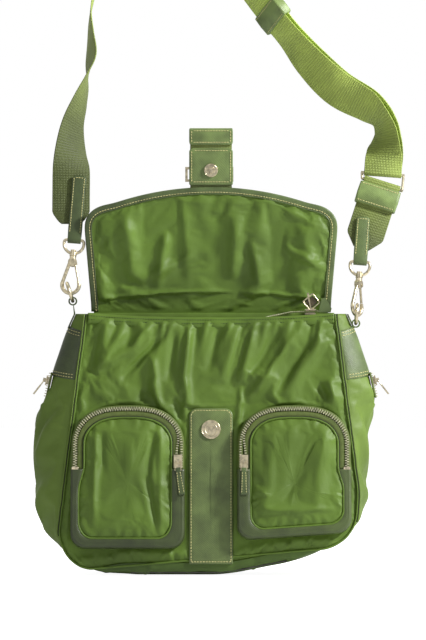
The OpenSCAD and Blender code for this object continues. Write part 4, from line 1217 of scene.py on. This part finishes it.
def flap_binding():
    """Leather along the free edge, with a cord inside it and a row of thread on each face."""
    back = on_flap(0, 0, 1) - on_flap(0, 0, 0)
    path = laid(on_flap, flap_edge(3.1), 15.95)
    profile = slab_profile(3.1, 2.1, 1.2, 4)
    band = sweep("flap_binding_leather", path, -back, profile, LEATHER_DARK, None)
    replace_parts(band, "flap_binding")
    path = laid(on_flap, flap_edge(6.6), 14.3)
    pieces = [band, sweep("flap_inner_cord", path, -back, disc(0.75, 7), LEATHER_DARK, None)]
    for name, inset, y, way in (("front", 5.0, 13.75, -1), ("back", 4.9, 18.15, 1)):
        path = laid(on_flap, flap_edge(inset), y)
        pieces.append(stitches(f"flap_thread_{name}", path, back * way, None, pitch=2.9))
    for obj in pieces:
        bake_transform(obj)


def tab():
    """The closing tab: webbing with a stitched patch near the flap and a cap at its end."""
    front = on_flap(0, 0, -1) - on_flap(0, 0, 0)
    start = FLAP_LEN + 2.3
    a, b = np.array(slab_profile(21, 0.8)).T
    sections = [on_flap(a, k, TAB_MID + b) for k in np.linspace(FLAP_LEN - 4, start + 53, 40)]
    strip = loft("tab_webbing_strip", sections, WEBBING, None, uv=True)
    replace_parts(strip, "tab_webbing")
    ends = [tuple(on_flap(0, h, TAB_MID) * MM) for h in (114, 120)]
    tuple(ends[0])
    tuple(ends[1])
    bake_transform(strip)

    def place(x, s, out):
        return on_flap(x, s, TAB_MID - 1.1 - out)

    outline = plate_outline(22, start, start + 37, 4, 1.0)
    steps = [(0, 0), (0, 0.8), (0.5, 1.25), (1.4, 1.35), (2.2, 1.15), (3, 1.35), (7, 1.4),
             (12, 1.4)]
    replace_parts(ring_patch("tab_patch_leather", outline, steps, place, LEATHER, "tab"), "tab_patch")
    sections = []
    for k, w, t in ((157.6, 20, 1.2), (157.8, 20.8, 2.2), (158.8, 21.6, 2.35), (161, 22, 2.4),
                    (168, 22, 2.45), (172.5, 22, 2.3), (173.8, 21.6, 1.6), (174.3, 21, 0.5)):
        a, b = np.array(slab_profile(w, t, min(0.9, t * 0.9), 4)).T
        sections.append(on_flap(a, k, TAB_MID + b))
    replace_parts(loft("tab_cap_leather", sections, LEATHER, "tab"), "tab_cap")
    t = np.linspace(0, 1, 12)
    for part, y, end_x, low, high, end_low, end_high in (
        ("patch", TAB_MID - 2.6, (17, 18), start + 3, start + 34, start + 3, start + 34.6),
        ("cap", TAB_MID - 2.5, (18, 18), 160, 172, 160.2, 171.8),
    ):
        for label, x0, h0, x1, h1 in (("left", -19.6, low, -19.6, high),
                                      ("right", 19.6, low, 19.6, high),
                                      ("top", -end_x[0], end_high, end_x[0], end_high),
                                      ("low", -end_x[1], end_low, end_x[1], end_low)):
            path = on_flap(x0 + (x1 - x0) * t, h0 + (h1 - h0) * t, y)
            stitches(f"tab_{part}_thread_{label}", path, front, "tab", pitch=2.8)


# ---- Shoulder strap ----
STATIONS = np.array([
    [-141.5, 352, 0], [-141.5, 378, 0], [-141.5, 402, 5], [-142, 425, 34], [-139.5, 455, 58],
    [-133, 478, 72], [-126, 497, 86], [-122.5, 520, 106], [-123, 545, 99], [-122, 572, 92],
    [-115, 605, 90], [-96, 636, 88], [-60, 652, 84], [-20, 642, 76], [12, 623, 66],
    [38, 599, 62], [59, 572, 62], [80, 545, 62], [101, 519, 47], [129, 491, 33],
    [158, 474, 48], [173, 463, 68], [178, 450, 62], [178, 437, 46], [176.5, 425, 24],
    [175, 414, 5], [174, 403, 0]], float)
LAST = len(STATIONS) - 1
PLY_OFF = BAR_HALF + 0.2 + PLY
SLIDER_S = 16.2
LOOP_BAR = in_strap(STATIONS[-1, 0], STATIONS[-1, 1])


def station(s):
    i = min(int(s), LAST - 1)
    t = s - i
    a, b, c, d = (STATIONS[k] for k in (max(i - 1, 0), i, i + 1, min(i + 2, LAST)))
    return 0.5 * (2 * b + (c - a) * t + (2 * a - 5 * b + 4 * c - d) * t ** 2
                  + (3 * b - a - 3 * c + d) * t ** 3)


def web_frame(s):
    """Centre, width direction and thickness direction of the webbing, in strap coordinates."""
    here = station(s)
    p = in_strap(here[0], here[1])
    fore, aft = station(min(s + 0.05, LAST)), station(max(s - 0.05, 0))
    run = in_strap(fore[0], fore[1]) - in_strap(aft[0], aft[1])
    t = run / np.linalg.norm(run)
    side = np.array([t[1], 0, -t[0]])
    turn = radians(here[2])
    y = np.array([0, 1.0, 0])
    wide = side * cos(turn) + y * sin(turn)
    thick = -side * sin(turn) + y * cos(turn)
    return np.array([p[0], 0, p[1]]), wide, thick


def main_off(s):
    return -PLY_OFF * min(1, max(0, (s - 9) / 4))


def web_place(t):
    """The webbing's frame on its whole run: over, round the loop's bar, back to the slider."""
    if t <= LAST:
        p, wide, thick = web_frame(t)
        return p + thick * main_off(t), wide, thick
    if t < LAST + 1:
        a = pi * (t - LAST)
        radial = np.array([0, -cos(a), -sin(a)])
        centre = np.array([LOOP_BAR[0], 0, LOOP_BAR[1]])
        return centre + radial * PLY_OFF, np.array([-1.0, 0, 0]), -radial
    p, wide, thick = web_frame(2 * LAST + 1 - t)
    return p + thick * PLY_OFF, wide, -thick


def ribbon_section(p, wide, thick, half, curl=0.0):
    a, b = np.array(slab_profile(half, PLY, 0.45)).T
    b = b + curl * (a / WEB_HALF) ** 2
    return on_strap(*(p + np.outer(a, wide) + np.outer(b, thick)).T)


def long_webbing():
    sections = []
    ends = 2 * LAST + 1 - SLIDER_S
    for t in np.linspace(0, ends, 340):
        p, wide, thick = web_place(t)
        half = WEB_HALF
        if t < 1:
            half = np.interp(t * 26, [0, 1, 13], [9.5, 10.5, WEB_HALF])
        flutter = 0.6 * sin(t * 2.3) if 2 < t < LAST - 2 else 0.0
        sections.append(ribbon_section(p, wide, thick, half, curl=flutter))
    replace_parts(loft("strap_webbing_long", sections, WEBBING, "strap", uv=True), "strap_webbing")


def tip(name, origin, length):
    """Leather tip folded round a D-ring's bar, with thread along both edges and the top."""
    half, inner, wall = 6.8, 1.85, 1.7
    mid = inner + wall / 2
    line = [(-mid, length - k) for k in np.linspace(0, length - 2, 26)]
    line += [(-mid * cos(a), -mid * sin(a)) for a in np.linspace(0.2, pi - 0.2, 9)]
    line += [(mid, k) for k in np.linspace(2, length, 26)]
    line = np.array(line)
    sections = []
    for (y, z), (ry, rz) in zip(line, directions(line)):
        w = half - 0.22 * max(0, z - (length - 3)) ** 2 + 0.25 * sin(z / 9)
        a, b = np.array(slab_profile(w, wall / 2, 0.5)).T
        sections.append(on_strap(origin[0] + a, y - b * rz, origin[1] + z + b * ry))
    side = name.split("_")[0]
    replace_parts(loft(f"{name}_leather", sections, LEATHER_DARK, "strap"), f"{side}_strap_tip")
    face = inner + wall + 0.05
    z = np.linspace(7, length - 2, 20)
    across = np.linspace(-4.2, 4.2, 6)
    rows = (("a", 1.6 - half, z, 2.7), ("b", half - 1.6, z, 2.7), ("top", across, length - 2, 2.6))
    for way, label in ((-1, "front"), (1, "back")):
        normal = on_strap(0, way, 0) - on_strap(0, 0, 0)
        for row, x, up, pitch in rows:
            path = on_strap(origin[0] + x, way * face, origin[1] + up)
            stitches(f"{name}_thread_{label}_{row}", path, normal, "strap", pitch=pitch)


def sleeve(old, centre, wide, thick, half_w, half_t, wall):
    """A leather band round the webbing, with rounded rims and a row of thread near each."""
    name, body, half_len = f"{old}_leather", OWNER[old], 11
    along = np.cross(wide, thick)
    end = half_len - 0.7
    rings = [(-half_len, wall - 0.7), (-end, wall), (0, wall + 0.35), (end, wall),
             (half_len, wall - 0.7), (half_len, 0.5), (half_len - 0.6, 0), (-half_len + 0.6, 0),
             (-half_len, 0.5)]
    sections = []
    for d, grow in rings:
        w, t = half_w + grow, half_t + grow
        a, b = np.array(slab_profile(w, t, min(2.2, t * 0.7), 5)).T
        sections.append(on_strap(*(centre + along * d + np.outer(a, wide) + np.outer(b, thick)).T))
    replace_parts(loft(name, sections, LEATHER, body, ring=True), old)
    a = np.linspace(-half_w + 0.5, half_w - 0.5, 12)
    for way, face in ((-1, "front"), (1, "back")):
        normal = on_strap(*(way * thick)) - on_strap(0, 0, 0)
        for d, end in ((-half_len + 2, "low"), (half_len - 2, "high")):
            points = centre + along * d + np.outer(a, wide) + thick * way * (half_t + wall + 0.15)
            stitches(f"{name}_thread_{end}_{face}", on_strap(*points.T), normal, body, pitch=2.8)


OWNER = {n: b for b, group in frame["record"]["behaviour"]["bodies"].items() for n in group}


def short_webbing():
    """Short webbing between the right tip and the loop, folded round the loop's lower bar."""
    top = np.array([LOOP_BAR[0], LOOP_BAR[1] - 10])
    low = BAR + 14
    turn = atan((top[0] - AXIS_LEN) / (top[1] - low))
    length = hypot(top[0] - AXIS_LEN, top[1] - low)
    up = np.array([sin(turn), 0, cos(turn)])
    wide = np.array([cos(turn), 0, -sin(turn)])
    thick = np.array([0, 1.0, 0])
    origin = np.array([top[0], 0, top[1]])
    r = PLY_OFF
    line = [(0.0, -length + k) for k in np.linspace(0, length - 27, 16)]
    line += [(-0.72, -25.5), (-r, -20), (-r, -10), (-r, -1)]
    line += [(-r * cos(a), r * sin(a)) for a in np.linspace(0.2, pi - 0.2, 9)]
    line += [(r, -1), (r, -10), (r, -20), (1.4, -24.5)]
    line = np.array(line)
    sections = []
    for (y, z), (ry, rz) in zip(line, directions(line)):
        half = np.interp(z + length, [0, 1, 13], [8, 9, WEB_HALF])
        normal = thick * rz - up * ry
        sections.append(ribbon_section(origin + thick * y + up * z, wide, normal, half))
    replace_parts(loft("strap_webbing_short", sections, WEBBING, "strap", uv=True), "end_webbing")
    sleeve("strap_keeper", origin - up * 15, wide, thick, WEB_HALF + 0.8, 3.3, 1.5)


def strap():
    long_webbing()
    short_webbing()
    tip("left_tip", (0, BAR), 66)
    tip("right_tip", (AXIS_LEN, BAR), 46)
    p, wide, thick = web_frame(SLIDER_S)
    sleeve("strap_slider", p, wide, thick, WEB_HALF + 1, 3.6, 2.0)


# ---- Carried-over hardware ----
PAIRED = ("zip_slider", "zip_bail", "side_slider", "side_pull", "side_ring", "d_ring", "hook",
          "gate")
HARDWARE = ["main_zip_slider", "main_zip_pull", "snap_socket", "snap_stud", "tab_frame",
            "strap_loop"]
HARDWARE += [f"{side}_{part}" for side in ("left", "right") for part in PAIRED]
STUBS = ["main_zip_end", "left_ring_loop", "right_ring_loop"]


def carry_over():
    """The CAD's own hardware and small leather loops, kept in place with softer edges."""
    for name in HARDWARE + STUBS:
        obj = frame["nodes"][name]
        obj.data.materials.clear()
        obj.data.materials.append(LEATHER_DARK if name in STUBS else METAL)
        if name in STUBS:
            bevel(obj, 0.6)
        elif "slider" in name or "pull" in name or name == "tab_frame":
            bevel(obj, 0.25)


def main_pull_frame():
    """The square wire frame that hangs in the main zip's pull, filled with dark leather."""
    centre = np.array([101.0, -3.0, 273.0])
    turn = radians(40)
    wide = np.array([cos(turn), 0, sin(turn)])
    high = np.array([-sin(turn), 0, cos(turn)])
    path = np.array([centre + wide * a + high * b for a, b in round_corners(5.2, 4.6, 1.2, 5)])
    sweep("main_pull_wire", path, (0, -1, 0), disc(0.7, 8), METAL, "main_zip_pull", closed=True)
    sections = []
    for t in np.linspace(-5, 5, 9):
        half = 4.4 - 0.4 * (t / 5) ** 6
        middle = centre + wide * t + np.array([0, 0.9 + 0.25 * sin(t), 0])
        profile = slab_profile(half, 0.5, 0.3)
        sections.append([middle + high * a + np.array([0, b, 0]) for a, b in profile])
    loft("main_pull_leather", sections, LEATHER_BROWN, "main_zip_pull")


def snap_details():
    """Wire rims round the socket on the strap and the stud on the tab."""
    right = np.array([1.0, 0, 0])
    strap_out = on_front(0, 0, 1) - on_front(0, 0, 0)
    tab_out = on_flap(0, 0, -1) - on_flap(0, 0, 0)
    stud = on_flap(0, STUD_H, TAB_MID - 3.6)
    t = np.linspace(0, 2 * pi, 41)[:-1, None]
    for name, centre, out, radius, wire, body in (
        ("socket_rim", on_front(0, SOCKET_S, 5.0), strap_out, 6.0, 0.45, "bag"),
        ("socket_edge", on_front(0, SOCKET_S, 3.95), strap_out, 9.2, 0.45, "bag"),
        ("stud_rim", stud, tab_out, 6.4, 0.5, "tab"),
        ("stud_well", stud, tab_out, 3.4, 0.35, "tab"),
    ):
        path = centre + (np.cos(t) * right + np.sin(t) * np.cross(out, right)) * radius
        sweep(name, path, out, disc(wire, 8), METAL, body, closed=True)


# ---- Build ----
panel("front_panel", False, 124, 160)
panel("back_panel", True, 80, 100)
gusset(-1, "left_gusset")
gusset(1, "right_gusset")
flap_sheet("flap_lining", 15.0, -1, LINING, 90, 136)
flap_sheet("flap_panel", 16.6, 1, FABRIC, 64, 100)
pocket(-1, "left_pocket")
pocket(1, "right_pocket")
run_cloth()
keep_apart()

board()
bottom()
seams()
hem(False)
hem(True)
inside()
gusset_cover(-1, "left_gusset_leather")
gusset_cover(1, "right_gusset_leather")
front_strap()
pocket_pulls()
main_zip()
side_zips()
flap_binding()
tab()
strap()
main_pull_frame()
snap_details()
carry_over()


# ---- Stage: pale floor, soft light and the camera ----
def add(name, data, place):
    obj = bpy.data.objects.new(name, data)
    scene.collection.objects.link(obj)
    obj.location = place
    return obj


def pale_floor():
    """A white plane that looks evenly lit to the camera but casts no light of its own."""
    size = 6.0
    plane = bpy.data.meshes.new("floor")
    corners = [(x * size, y * size, 0) for x, y in ((-1, -1), (1, -1), (1, 1), (-1, 1))]
    plane.from_pydata(corners, [], [(0, 1, 2, 3)])
    m, tree, p = new_material("floor_white", 0.9)
    p.inputs["Base Color"].default_value = (0.9, 0.9, 0.9, 1)
    p.inputs["Emission Color"].default_value = (1, 1, 1, 1)
    seen = node(tree, "LightPath").outputs["Is Camera Ray"]
    glow = node(tree, "Math", {"operation": "MULTIPLY"}, _0=seen, _1=0.95)
    tree.links.new(glow.outputs[0], p.inputs["Emission Strength"])
    plane.materials.append(m)
    add("floor", plane, (0, 0, -0.0005))


def white_world():
    """White to the camera, half as bright in reflections and dim as a source of light."""
    scene.world = bpy.data.worlds.new("studio")
    scene.world.use_nodes = True
    tree = scene.world.node_tree
    ray = node(tree, "LightPath").outputs
    gloss = node(tree, "Math", {"operation": "MULTIPLY"}, _0=ray["Is Glossy Ray"], _1=0.55)
    gloss = gloss.outputs[0]
    seen = node(tree, "Math", {"operation": "MAXIMUM"}, _0=ray["Is Camera Ray"], _1=gloss)
    power = node(tree, "MapRange", Value=seen.outputs[0], To_Min=0.1, To_Max=1.0).outputs["Result"]
    tree.nodes["Background"].inputs["Color"].default_value = (1, 1, 1, 1)
    tree.links.new(power, tree.nodes["Background"].inputs["Strength"])


def lamps():
    """A strong small window light from the right, a weak fill and a broad light from above."""
    for name, place, size, power in (
        ("key", (1.6, -0.65, 1.35), 0.25, 58),
        ("fill", (-1.2, -2.2, 1.0), 1.4, 5),
        ("top", (-0.3, 0.5, 2.0), 1.2, 9),
    ):
        light = bpy.data.lights.new(name, "AREA")
        light.size = size
        light.energy = power
        aim = Vector((0, 0, 0.25)) - Vector(place)
        add(name, light, place).rotation_euler = aim.to_track_quat("-Z", "Y").to_euler()


def camera():
    """Straight on from the front; half_view is what shows above and below the middle, in metres."""
    distance, half_view = 4.5, 0.320
    lens = bpy.data.cameras.new("camera")
    lens.sensor_fit = "VERTICAL"
    lens.sensor_height = 24
    lens.sensor_width = 24
    lens.lens = 12 / (half_view / (distance - 0.03))
    scene.camera = add("camera", lens, (0.002, -distance, 0.255))
    scene.camera.rotation_euler = (pi / 2, 0, 0)
    scene.view_settings.view_transform = "Standard"


pale_floor()
white_world()
lamps()
camera()
